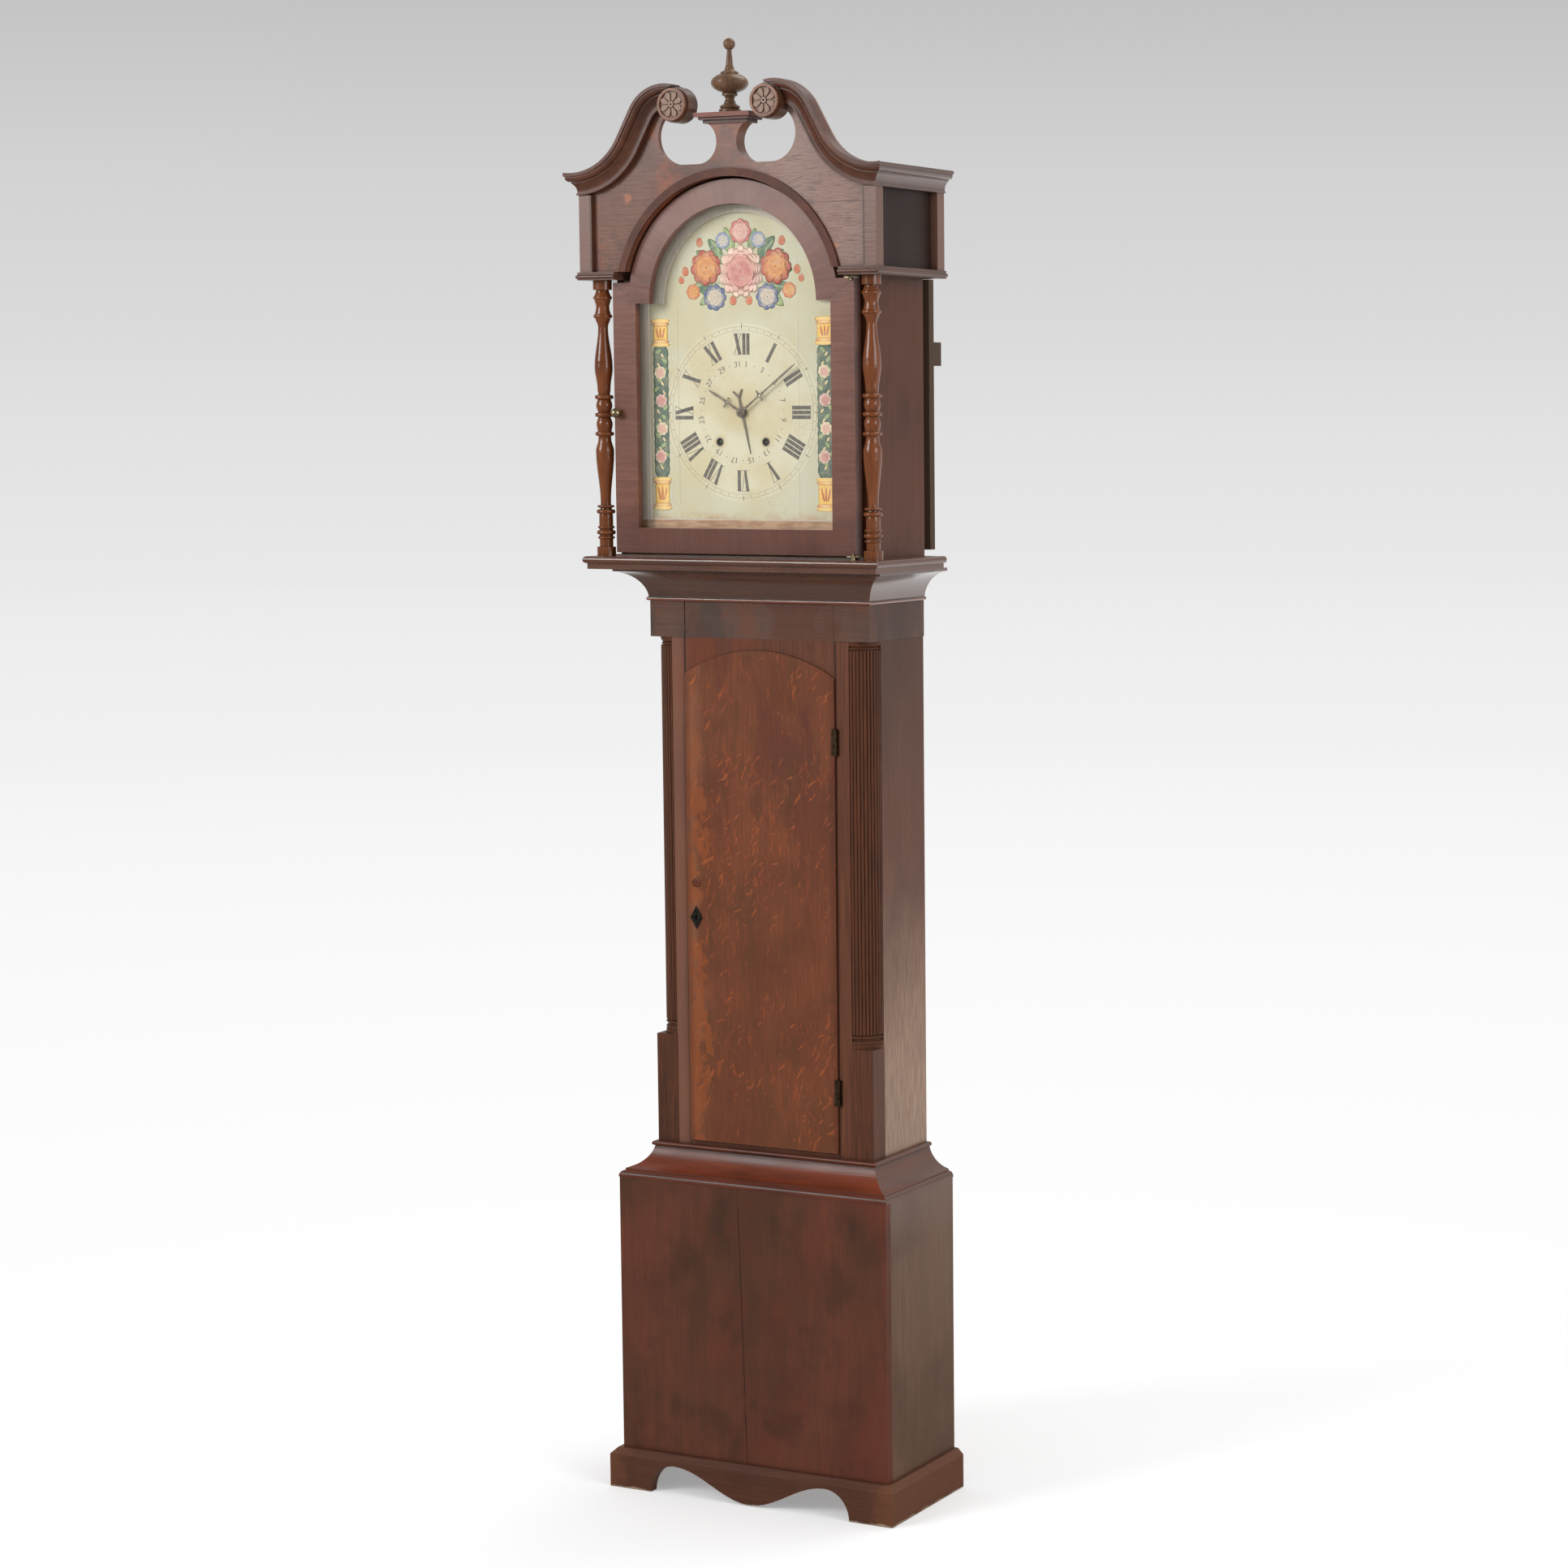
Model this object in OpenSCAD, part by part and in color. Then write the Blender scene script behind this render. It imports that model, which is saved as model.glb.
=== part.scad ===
/* [Case body] */
// Width of the trunk across its corner columns
trunk_w = 386; // [340:2:430]
// Depth of the trunk from its back to its front stiles
trunk_d = 172.5; // [165:0.5:210]
// Height of the trunk between its two mouldings
trunk_h = 853.6; // [820:0.2:980]
// How far the base stands out from the trunk
base_out = 46; // [34:1:60]
// Height of the base box from the floor to its moulding
base_h = 498.4; // [420:0.2:600]
// Thickness of the front boards of base and trunk
front_t = 15; // [12:0.5:20]
// Thickness of the side boards
side_t = 15; // [12:0.5:18]
// Thickness of the backboard
back_t = 12; // [9:0.5:18]
// How far the ears of the backboard reach beyond the trunk's side
ear_out = 22; // [14:1:26]
// Thickness of the ears
ear_t = 15; // [12:0.5:18]
// Height of the ears
ear_h = 413; // [300:1:420]
// Thickness of the wall cleat behind the backboard
cleat_t = 24; // [12:1:36]
// Height of the wall cleat
cleat_h = 36; // [24:1:60]

/* [Skirt and mouldings] */
// Height of the bracket skirt
skirt_h = 62.3; // [54:0.1:90]
// Thickness of the skirt boards
skirt_t = 16; // [12:0.5:24]
// Size of the bevel on the skirt's top edge
skirt_bevel = 9.6; // [4:0.2:11]
// Height of the arches between foot and centre drop
skirt_arch_h = 46.2; // [34:0.2:50]
// Clearance between the centre drop and the floor
drop_gap = 2.2; // [1:0.1:12]
// Width of a bracket foot at the floor
foot_w = 76; // [60:1:96]
// Height of the moulding between base and trunk
base_moulding_h = 53.4; // [48:0.2:64]
// Height of the cove moulding under the hood
cove_h = 51; // [44:0.5:60]
// How far the cove moulding stands out
cove_out = 43; // [34:0.5:48]

/* [Trunk front] */
// Radius of the quarter columns
quarter_r = 36; // [28:0.5:40]
// Number of reeds on each quarter column
reed_count = 10; // [6:1:12]
// Height of the blocks under the quarter columns
corner_block_h = 172; // [120:1:220]
// Height of the frieze above the trunk door
frieze_h = 56; // [40:0.5:64]
// Width of the stile seen between the trunk door and a column
stile_w = 24.5; // [22:0.5:40]
// Height of the rail above the crown of the trunk door
door_head = 18.1; // [12:0.1:60]
// Rise of the arched top of the trunk door
trunk_door_rise = 38; // [20:1:44]
// Distance from the trunk's foot to the trunk door
trunk_door_gap = 7.5; // [6:0.5:16]
// Width of the lip round the trunk door
door_lip = 8.5; // [6:0.5:12]
// Thickness of the lip, which stands proud of the stiles
lip_t = 3.5; // [2.5:0.5:6]
// Thickness of the trunk door behind its lip
door_t = 14; // [10:0.5:15]

/* [Hood] */
// Width of the hood over its corner posts
hood_w = 516; // [500:2:560]
// Distance from the case's back to the front of the hood's posts
hood_front = 258; // [252:0.5:276]
// Distance from the case's back to the hood's back edge
hood_back = 44.6; // [36:0.2:60]
// Height of the hood's base frame
hood_base_h = 19.6; // [16:0.2:26]
// Height of the columns of the hood
column_h = 420; // [410:1:430]
// Radius of the turned columns at their rings
column_r = 14.6; // [11:0.1:16]
// Thickness of the shelf on which the hood's frieze stands
astragal_t = 12; // [9:0.5:16]
// Height of the frieze between shelf and cornice
hood_frieze_h = 116; // [112:1:130]
// Height of the cornice and of the swan-neck mouldings
crown_h = 33; // [28:0.5:36]
// How far the cornice stands out
crown_out = 17; // [12:0.5:20]
// Width of the hood's corner posts
post_w = 22; // [16:0.5:26]
// Thickness of the board behind the swan necks
tympanum_t = 24; // [18:0.5:28]
// Radius of the scroll rolls behind the rosettes
roll_r = 26.5; // [22:0.5:28]
// Distance from the middle of the hood to each roll
roll_x = 80.3; // [76:0.5:84]
// Height of the rolls above the cornice's top
roll_up = 95.5; // [88:0.5:100]
// Height of the finial above its cap
finial_h = 110; // [90:1:140]
// Radius of the finial's bulb
finial_r = 28; // [24:0.2:34]

/* [Hood door] */
// Width of the hood door
hood_door_w = 420.8; // [410:0.2:424]
// Thickness of the hood door
hood_door_t = 20; // [16:0.5:22]
// Width of the door's stiles and rails
hood_stile_w = 40; // [34:0.5:44]
// Radius of the arched opening of the hood door
arch_r = 146; // [136:1:150]
// Width of the arched part of the door's frame
arch_rail_w = 36.5; // [30:0.5:40]
// Thickness of the glass
glass_t = 2; // [1.5:0.5:4]

/* [Dial and hands] */
// Width of the dial
dial_w = 330; // [324:1:340]
// Thickness of the wooden dial
dial_t = 10; // [6:0.5:12]
// Distance from the case's back to the face of the dial
dial_front = 212; // [208:0.5:214]
// Height of the hands' centre above the hood's seat
centre_up = 238.4; // [230:0.2:250]
// Distance of a winding hole from the middle
winding_x = 40.5; // [36:0.5:44]
// Distance of the winding holes below the hands' centre
winding_down = 44.2; // [40:0.2:50]
// Length of the minute hand
minute_len = 120; // [100:1:126]
// Length of the hour hand
hour_len = 67; // [55:1:80]
// Length of the calendar hand
calendar_len = 64; // [50:1:74]

/* [Movement] */
// Thickness of the movement's plates
plate_t = 3.5; // [2.5:0.1:4.5]
// Distance from the case's back to the back plate
plate_back = 104; // [100:0.5:108]
// Space between the plates
plate_gap = 60.5; // [56:0.5:62]
// Radius of the winding barrels
barrel_r = 22; // [16:0.5:23]
// Radius of the weight pulleys
pulley_r = 20; // [16:0.5:24]
// Thickness of the gut lines
line_d = 1.6; // [1:0.1:2.4]
// Length of the pendulum from its suspension to the middle of the bob
pendulum_len = 1001; // [960:1:1020]
// Radius of the pendulum bob
bob_r = 57; // [45:1:66]
// Radius of a driving weight
weight_r = 26; // [20:0.5:28]
// Height of a driving weight
weight_h = 190; // [150:1:240]
// Height of the weights' foot above the trunk's foot when run down
weight_up = 60; // [20:1:120]

/* [Hidden] */
$fn = 48;

mahogany = [0.36, 0.17, 0.11];
dark_mahogany = [0.22, 0.11, 0.08];
oak = [0.52, 0.28, 0.15];
pine = [0.66, 0.50, 0.34];
brass = [0.80, 0.63, 0.30];
steel = [0.46, 0.46, 0.48];
lead = [0.40, 0.41, 0.43];
iron = [0.14, 0.13, 0.13];
cream = [0.92, 0.88, 0.74];

// Gaps: between moving wood, and round a turning shaft
wood_gap = 0.8;
shaft_gap = 0.05;

// Widths, halved, and heights of the case
trunk_hw = trunk_w / 2;
base_hw = trunk_hw + base_out;
base_front = trunk_d + base_out;
skirt_hw = base_hw + skirt_t;
ear_up = 8;
trunk_z = base_h + base_moulding_h;
frieze_z = trunk_z + trunk_h - frieze_h;
cove_z = trunk_z + trunk_h;
seat_z = cove_z + cove_h;
deck_z = seat_z + hood_base_h;
shelf_z = deck_z + column_h;
hood_frieze_z = shelf_z + astragal_t;
crown_z = hood_frieze_z + hood_frieze_h;
crown_top = crown_z + crown_h;
hood_hw = hood_w / 2;

// The model stands on the middle of its own box: the rolls reach furthest forward
roll_face_t = 8;
roll_proud = 1;
front_reach = hood_front + crown_out + roll_proud;
back_y = (front_reach - cleat_t) / 2;

// Trunk door and its opening
stile_back = trunk_d - front_t;
door_hw = trunk_hw - quarter_r - stile_w;
trunk_door_h = trunk_h - frieze_h - trunk_door_gap - trunk_door_rise - door_head;
door_z = trunk_z + trunk_door_gap;
door_arch_r = (door_hw * door_hw + trunk_door_rise * trunk_door_rise) / (2 * trunk_door_rise);
door_arch_z = door_z + trunk_door_h + trunk_door_rise - door_arch_r;
door_front = trunk_d + lip_t;
column_x = trunk_hw - quarter_r;
column_d = trunk_d - quarter_r;
quarter_z = trunk_z + corner_block_h;

// Hood door, arch and dial
door_play = 6;
hood_door_hw = hood_door_w / 2;
hood_door_front = dial_front + 29;
hood_door_back = hood_door_front - hood_door_t;
hood_door_z = deck_z + door_play;
shoulder_z = shelf_z - 4;
arch_z = shelf_z - hood_stile_w + 4;
arch_out_r = arch_r + arch_rail_w;
tymp_arch_r = arch_out_r + 3.5;
band_w = 12.3;
band_proud = 4;
crown_in = 8;
tymp_front = hood_front - crown_in;
tymp_back = tymp_front - tympanum_t;
mask_t = 4;
mask_back = dial_front + 1;
dial_hw = dial_w / 2;
mask_hw = dial_hw - 3.5;
mask_r = arch_r - 11.5;
dial_z = deck_z + 54;
hand_z = seat_z + centre_up;

// Columns of the hood, and its side boards
hood_column_x = hood_door_hw + 10 + column_r;
hood_column_d = hood_door_front - 9;
hood_side_hw = hood_door_hw + 10;

// Movement: plates, arbors and wheels
plate_front = plate_back + plate_t + plate_gap;
board_t = side_t + 5;
barrel_z = hand_z - winding_down;
train_gap = sqrt(winding_x * winding_x + winding_down * winding_down);
great_r = train_gap * 12 / 13;
seat_top = barrel_z - great_r - 7.2;
pillar_r = 4;
pillar_x = winding_x + barrel_r + line_d + pillar_r + 2;
plate_hw = pillar_x + 7;
centre_wheel_r = 24;
third_r = 20;
escape_r = 20;
third_pinion_r = centre_wheel_r * 8 / 60;
escape_pinion_r = third_r * 7 / 56;
escape_up = 41;
escape_z = hand_z + escape_up;
third_a = centre_wheel_r + third_pinion_r;
third_b = third_r + escape_pinion_r;
third_dz = (third_a * third_a - third_b * third_b + escape_up * escape_up) / (2 * escape_up);
third_x = sqrt(third_a * third_a - third_dz * third_dz);
third_z = hand_z + third_dz;
pallet_z = escape_z + 28;
plate_top = pallet_z + 14.2;
arbor_r = 2;
pivot_r = 1.4;
arbor_len = plate_front + plate_t - plate_back - 0.4;
// The line lies in its pulley's groove. It leaves the barrel on the left, so both wind clockwise
groove_r = pulley_r + line_d / 2 - 0.9;
line_play = 0.1;
function line_x(side) = side * winding_x - barrel_r - line_d / 2 - line_play;
function pulley_x(side) = line_x(side) + groove_r;
line_dd = plate_back + plate_t + 12;
bell_d = plate_back + plate_t + plate_gap / 2;
weight_z = trunk_z + weight_up;
pulley_z = weight_z + weight_h + 52;
pendulum_d = plate_back - 32;
bob_z = pallet_z - pendulum_len;
bell_z = hand_z + 102;
bell_r = 42;
bell_up = 6;
hammer_x = -bell_r - 10;
hammer_z = plate_top - 30;
cannon_r = 12;
hour_wheel_r = 2 * cannon_r * 12 / 13;
stud_r = 0.8;
minute_a = -60;
minute_x = 2 * cannon_r * cos(minute_a);
minute_z = hand_z + 2 * cannon_r * sin(minute_a);

// Distance forward of the case's back, as a place along Y
function at(d) = back_y - d;

// Points of an arc in the order of its angles
function arc(c, r, a0, a1, n) = [for (i = [0:n]) let (a = a0 + (a1 - a0) * i / n) c + r * [cos(a), sin(a)]];

// A profile eased by a cosine between key points, each a height and a radius
function ease(a, b, t) = a + (b - a) * (1 - cos(180 * t)) / 2;
function eased(keys, n) = [for (i = [0:len(keys) - 2]) for (j = [0:n - 1])
  [ease(keys[i][1], keys[i + 1][1], j / n), keys[i][0] + (keys[i + 1][0] - keys[i][0]) * j / n]];

// A board between two places along X, in depth and in height
module board(x0, x1, d0, d1, z0, z1) translate([x0, at(d1), z0]) cube([x1 - x0, d1 - d0, z1 - z0]);

// What stands on the left stands again on the right
module both_sides() {
  children();
  mirror([1, 0, 0]) children();
}

// An outline seen from the front, in X and Z, as a slab between two depths
module slab(d0, d1) translate([0, at(d0), 0]) rotate([90, 0, 0]) linear_extrude(d1 - d0) children();

// An outline seen from above, in X and distance from the back, between two heights
module plan(z0, z1) translate([0, back_y, z0]) mirror([0, 1, 0]) linear_extrude(z1 - z0) children();

// Something turned about an axis that points forward
module turned_forward(x, z, d) translate([x, at(d), z]) rotate([90, 0, 0]) children();

// A moulding along the front and both sides, with mitred corners. Its profile is drawn as distance
// outwards from the wall and height; hw and d1 are the wall's half width and front, d0 the back end
module mitred(hw, d0, d1, reach, z0, z1) {
  intersection() {
    translate([0, at(d1), 0]) rotate([90, 0, -90]) linear_extrude(2 * (hw + reach), center = true)
      children();
    plan(z0, z1) polygon([[-hw - reach, d1 + reach], [hw + reach, d1 + reach], [hw - side_t, d1 - side_t],
      [side_t - hw, d1 - side_t]]);
  }
  both_sides() intersection() {
    translate([hw, at(d0), 0]) rotate([90, 0, 0]) linear_extrude(d1 - d0 + reach) children();
    plan(z0, z1) polygon([[hw - side_t, d0], [hw + reach, d0], [hw + reach, d1 + reach],
      [hw - side_t, d1 - side_t]]);
  }
}

// A circle of radius r through a and b, its middle to the right of the way from a to b
module chord_circle(a, b, r) {
  half = norm(b - a) / 2;
  dir = (b - a) / (2 * half);
  translate((a + b) / 2 + sqrt(r * r - half * half) * [dir[1], -dir[0]]) circle(r);
}

// Points from a to b along an arc of radius r, its middle to the right of the way
function bow(a, b, r, n) = let (half = norm(b - a) / 2, dir = (b - a) / (2 * half),
  c = (a + b) / 2 + sqrt(r * r - half * half) * [dir[1], -dir[0]],
  start = atan2(a[1] - c[1], a[0] - c[0]), turn = 2 * asin(half / r))
  arc(c, r, start, start - turn, n);

// A turned ring: a half-round bead round a stem
module bead(z, r, h) translate([0, 0, z]) rotate_extrude() {
  translate([r - h / 2, 0]) circle(h / 2, $fn = 24);
  translate([0, -h / 2]) square([r - h / 2, h]);
}

// A toothed outline. Teeth are narrow with room at the root, and the turn says where the first points
module teeth(count, r, tooth, turn = 0, share = 0.34) {
  step = 360 / count;
  polygon([for (i = [0:count - 1]) for (k = [[-share, -1.4], [-share / 3, 1], [share / 3, 1], [share, -1.4]])
    let (a = turn + step * (i + k[0]), q = r + k[1] * tooth) q * [cos(a), sin(a)]]);
}

// A crossed-out wheel with four spokes
module crossed(count, r, tooth, turn, hub) {
  rim = r - tooth - 3.4;
  difference() {
    teeth(count, r, tooth, turn);
    circle(rim);
  }
  circle(hub);
  for (a = [0, 90]) rotate(a) square([2 * rim + 1, 3], center = true);
}

// Backboard: narrow in the trunk, wide in the base, with an ear on each side of the movement and
// a cleat across its back
module backboard() {
  inner = trunk_hw - side_t;
  color(pine) {
    slab(0, back_t) polygon([[-base_hw + side_t, 50], [base_hw - side_t, 50], [base_hw - side_t, base_h],
      [inner, base_h], [inner, crown_z - 30], [-inner, crown_z - 30], [-inner, base_h],
      [-base_hw + side_t, base_h]]);
    both_sides() board(inner, trunk_hw + ear_out, 0, ear_t, deck_z + ear_up, deck_z + ear_up + ear_h);
    board(-trunk_hw - ear_out, trunk_hw + ear_out, -cleat_t, 0, deck_z + 290, deck_z + 290 + cleat_h);
  }
}

module base_front_panel() {
  color(mahogany) board(-base_hw, base_hw, base_front - front_t, base_front, 50, base_h);
}

module base_boards() {
  color(mahogany) both_sides() board(base_hw - side_t, base_hw, 0, base_front - front_t, 50, base_h);
  color(pine) board(-base_hw + side_t, base_hw - side_t, back_t, base_front - front_t, 62, 76);
}

// Lower edge of the front skirt: two rounded arches and a drop between them
function skirt_edge(x) = let (foot = skirt_hw - foot_w, crest = foot * 0.76)
  x > crest ? skirt_arch_h * sqrt(max(0, 1 - pow((x - crest) / (foot - crest), 2)))
  : drop_gap + (skirt_arch_h - drop_gap) * (1 - cos(180 * x / crest)) / 2;

module bracket_skirt() {
  foot = skirt_hw - foot_w;
  crest = foot * 0.76;
  curve = concat([for (i = [0:10]) crest * i / 10], [for (a = [9:9:90]) crest + (foot - crest) * sin(a)]);
  bevel_z = skirt_h - skirt_bevel;
  color(mahogany) {
    difference() {
      board(-skirt_hw, skirt_hw, base_front, base_front + skirt_t, 0, skirt_h);
      slab(base_front - 1, base_front + skirt_t + 1) polygon(concat([[foot, -1], [-foot, -1]],
        [for (i = [len(curve) - 1:-1:1]) [-curve[i], skirt_edge(curve[i])]],
        [for (x = curve) [x, skirt_edge(x)]]));
      translate([-skirt_hw - 1, at(base_front + skirt_t), bevel_z]) rotate([45, 0, 0])
        cube([2 * skirt_hw + 2, 2 * skirt_t, 2 * skirt_t]);
      both_sides() side_bevel(bevel_z);
    }
    both_sides() difference() {
      board(base_hw, skirt_hw, 0, base_front, 0, skirt_h);
      side_bevel(bevel_z);
    }
  }
}

module side_bevel(z) translate([skirt_hw, -2 * back_y, z]) rotate([0, -45, 0])
  cube([2 * skirt_t, 4 * back_y, 2 * skirt_t]);

// Base moulding: bead, deep cove, fillet and a rounded edge over the base box
module base_moulding() {
  h = base_moulding_h;
  o = base_out;
  color(mahogany) mitred(trunk_hw, 0, trunk_d, o + 8, base_h, trunk_z) translate([0, base_h]) {
    difference() {
      polygon([[-side_t, 0], [o + 1, 0], [o + 1, 2], [o - 7, 10], [o - 7, 13], [5, h - 7], [-side_t, h - 7]]);
      chord_circle([o - 7, 13], [5, h - 7], 44);
    }
    intersection() {
      translate([o - 7, 2]) circle(8);
      square([o + 1, 10]);
    }
    translate([-side_t, h - 7]) square([side_t + 5.5, 7]);
    translate([5.5, h - 3.5]) circle(3.5);
  }
}

// Sides of the trunk, which rise inside the hood as cheeks under the seat board
module trunk_sides() {
  color(mahogany) both_sides() {
    board(trunk_hw - side_t, trunk_hw, 0, column_d, trunk_z, deck_z + ear_up);
    board(trunk_hw - side_t, trunk_hw, ear_t, column_d, deck_z + ear_up, seat_top - board_t);
  }
}

// Outline of the trunk door or its opening, drawn in by the lip's width
module trunk_door_outline(inset) {
  w = door_hw - inset;
  spring = door_z + trunk_door_h - trunk_door_rise;
  translate([-w, door_z + inset]) square([2 * w, spring - door_z - inset]);
  intersection() {
    translate([-w, spring - 1]) square([2 * w, 3 * trunk_door_rise]);
    circle_at([0, door_arch_z], door_arch_r - inset, 180);
  }
}

// Stiles and rails round the trunk door
module trunk_front_frame() {
  color(mahogany) slab(stile_back, trunk_d) difference() {
    translate([-column_x, trunk_z]) square([2 * column_x, frieze_z - trunk_z]);
    trunk_door_outline(door_lip);
  }
}

// Reeded quarter columns with turned capital and foot, each over a square block
module quarter_columns() {
  core = quarter_r - 2.6;
  reed = core * PI / 4 / reed_count;
  foot_h = 22;
  cap_h = 14;
  color(mahogany) both_sides() {
    plan(quarter_z + foot_h, frieze_z - cap_h) {
      intersection() {
        translate([column_x, column_d]) circle(core);
        translate([column_x, column_d]) square(quarter_r);
      }
      intersection() {
        for (i = [0:reed_count - 1]) let (a = 90 * (i + 0.5) / reed_count)
          translate([column_x, column_d] + core * [cos(a), sin(a)]) circle(reed, $fn = 20);
        translate([column_x, column_d]) square(quarter_r + 1);
      }
    }
    quarter_turning(quarter_z, [[0, 0], [0.5, 0], [0.5, 6], [-0.5, 6], [-0.5, 8], [-3, 12], [-3, foot_h]],
      [[0.3, 10, 4], [0.2, 18, 4]]);
    quarter_turning(frieze_z - cap_h, [[-3, 0], [-3, 5], [0, 8.5], [0, 11], [0.8, 11], [0.8, cap_h]],
      [[-1, 3, 3]]);
    board(column_x, trunk_hw + 1, column_d, trunk_d + 1, trunk_z, quarter_z);
  }
}

// A quarter ring of mouldings at a column's end, as steps outwards from the column's radius
module quarter_turning(z, steps, beads) {
  translate([column_x, at(column_d), z]) rotate([0, 0, -90]) {
    rotate_extrude(angle = 90) polygon(concat([for (p = steps) [quarter_r + p[0], p[1]]],
      [[0, steps[len(steps) - 1][1]], [0, 0]]));
    for (b = beads) rotate_extrude(angle = 90)
      translate([quarter_r - b[2] / 2 + b[0], b[1]]) circle(b[2] / 2, $fn = 20);
  }
}

// Frieze over the trunk door: a middle panel between two blocks that turn the corner
module trunk_frieze() {
  color(mahogany) {
    board(-door_hw, door_hw, stile_back, trunk_d + 0.5, frieze_z, cove_z);
    both_sides() {
      board(door_hw, trunk_hw, stile_back, trunk_d + 1.5, frieze_z, cove_z);
      board(trunk_hw - side_t, trunk_hw, column_d, stile_back, frieze_z, cove_z);
      board(trunk_hw, trunk_hw + 1.5, 0, trunk_d + 1.5, frieze_z, cove_z);
    }
  }
}

// Cove moulding that carries the hood
module trunk_cove_moulding() {
  h = cove_h;
  o = cove_out;
  fillet = h / 17;
  top = h - fillet * 5 / 3;
  color(mahogany) difference() {
    mitred(trunk_hw, 0, trunk_d, o + 8, cove_z, seat_z) translate([0, cove_z]) {
      difference() {
        polygon([[-side_t, 0], [fillet, 0], [fillet, 2 * fillet], [o, top], [o, h], [-side_t, h]]);
        chord_circle([fillet, 2 * fillet], [o, top], top);
      }
      translate([fillet, fillet]) circle(fillet);
    }
    both_sides() board(trunk_hw - side_t - 1, trunk_hw, -1, column_d, cove_z - 1, seat_z + 1);
  }
}

module seat_board() {
  color(pine) difference() {
    board(1 - trunk_hw, trunk_hw - 1, plate_back - 16, plate_front + plate_t + 5,
      seat_top - board_t, seat_top);
    for (side = [-1, 1]) for (x = [line_x(side), line_x(side) + 2 * groove_r])
      translate([x, at(line_dd), seat_top - board_t - 1]) cylinder(r = 2.5 * line_d, h = board_t + 2);
  }
}

// Butt hinges of the trunk door: the leaf on the stile and the pin
hinge_h = 40;
hinge_zs = [door_z + trunk_door_h * 0.102, door_z + trunk_door_h * 0.84];
hinge_x = door_hw + 1.6;
hinge_d = door_front + 0.6;
pin_r = 1.4;
knuckle_r = 3.2;
leaf_w = knuckle_r + 2;

module trunk_hinges() {
  color(brass) for (z = hinge_zs) {
    translate([hinge_x, at(hinge_d), z]) cylinder(r = pin_r, h = hinge_h);
    for (k = [0, 2, 4]) difference() {
      union() {
        translate([hinge_x, at(hinge_d), z + k * hinge_h / 5]) cylinder(r = knuckle_r, h = hinge_h / 5);
        board(hinge_x, hinge_x + leaf_w, trunk_d, trunk_d + 1.5,
          z + k * hinge_h / 5, z + (k + 1) * hinge_h / 5);
        board(hinge_x, hinge_x + 1.5, trunk_d, hinge_d, z + k * hinge_h / 5, z + (k + 1) * hinge_h / 5);
      }
      translate([hinge_x, at(hinge_d), z - 1]) cylinder(r = pin_r, h = hinge_h + 2);
    }
    board(hinge_x + knuckle_r, hinge_x + leaf_w, trunk_d, trunk_d + 1.5, z, z + hinge_h);
  }
}

// Trunk door: a board with a lip all round that covers its opening
module trunk_door() {
  color(oak) difference() {
    union() {
      slab(trunk_d, door_front) trunk_door_outline(0);
      slab(trunk_d - door_t, trunk_d) trunk_door_outline(door_lip + wood_gap);
    }
    for (z = hinge_zs) translate([hinge_x, at(hinge_d), z - 0.5])
      cylinder(r = knuckle_r + 0.3, h = hinge_h + 1);
    turned_forward(key_x, key_z, trunk_d - door_t - 1) cylinder(d = 5, h = door_t + lip_t + 2);
    board(key_x - 1.2, key_x + 1.2, trunk_d - door_t - 1, door_front + 1, key_z - 8, key_z);
  }
}

// Keyhole, with the lock behind it and its bolt
key_x = -(door_hw - 16);
key_z = door_z + trunk_door_h * 0.484;
lock_w = 46;
lock_h = 54;
lock_t = 7;
bolt_h = 14;
bolt_t = 4;
bolt_out = 7;

module trunk_door_leaves() {
  color(brass) for (z = hinge_zs) for (k = [1, 3]) difference() {
    union() {
      translate([hinge_x, at(hinge_d), z + k * hinge_h / 5 + 0.15])
        cylinder(r = knuckle_r, h = hinge_h / 5 - 0.3);
      board(hinge_x - leaf_w - 1, hinge_x, door_front, door_front + 1.4, z + k * hinge_h / 5 + 0.15,
        z + (k + 1) * hinge_h / 5 - 0.15);
      board(hinge_x - leaf_w - 1, hinge_x - knuckle_r - 0.6, door_front, door_front + 1.4, z, z + hinge_h);
    }
    translate([hinge_x, at(hinge_d), z - 1]) cylinder(r = pin_r + shaft_gap, h = hinge_h + 2);
  }
}

// Kite-shaped plate round the keyhole
module escutcheon() {
  w = 10.5;
  h = 18;
  color(iron) slab(door_front, door_front + 1.6) difference() {
    translate([key_x, key_z - 2]) polygon([[0, h], [w * 0.55, h * 0.45], [w, 0], [w * 0.55, -h * 0.45],
      [0, -h], [-w * 0.55, -h * 0.45], [-w, 0], [-w * 0.55, h * 0.45]]);
    translate([key_x, key_z]) circle(d = 5);
    translate([key_x - 1.2, key_z - 8]) square([2.4, 8]);
  }
}

module door_lock() {
  back = trunk_d - door_t;
  color(iron) difference() {
    board(key_x - 6, key_x - 6 + lock_w, back - lock_t, back, key_z - lock_h / 2, key_z + lock_h / 2);
    board(key_x - 7, key_x - 6 + 30.5, back - bolt_t - 1.5 - wood_gap / 2, back - 1.5 + wood_gap / 2,
      key_z + 4 - wood_gap / 2, key_z + 4 + bolt_h + wood_gap / 2);
    turned_forward(key_x, key_z - 2, back - lock_t - 1) cylinder(d = 4, h = lock_t + 2);
  }
}

module lock_bolt() {
  back = trunk_d - door_t;
  color(steel) board(key_x - 6, key_x - 6 + 22 + bolt_out, back - bolt_t - 1.5, back - 1.5,
    key_z + 4, key_z + 4 + bolt_h);
}

// Hood: side boards, base frame and columns
module hood_sides() {
  color(mahogany) both_sides()
    board(hood_side_hw - side_t, hood_side_hw, hood_back, mask_back, deck_z, shelf_z);
}

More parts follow.
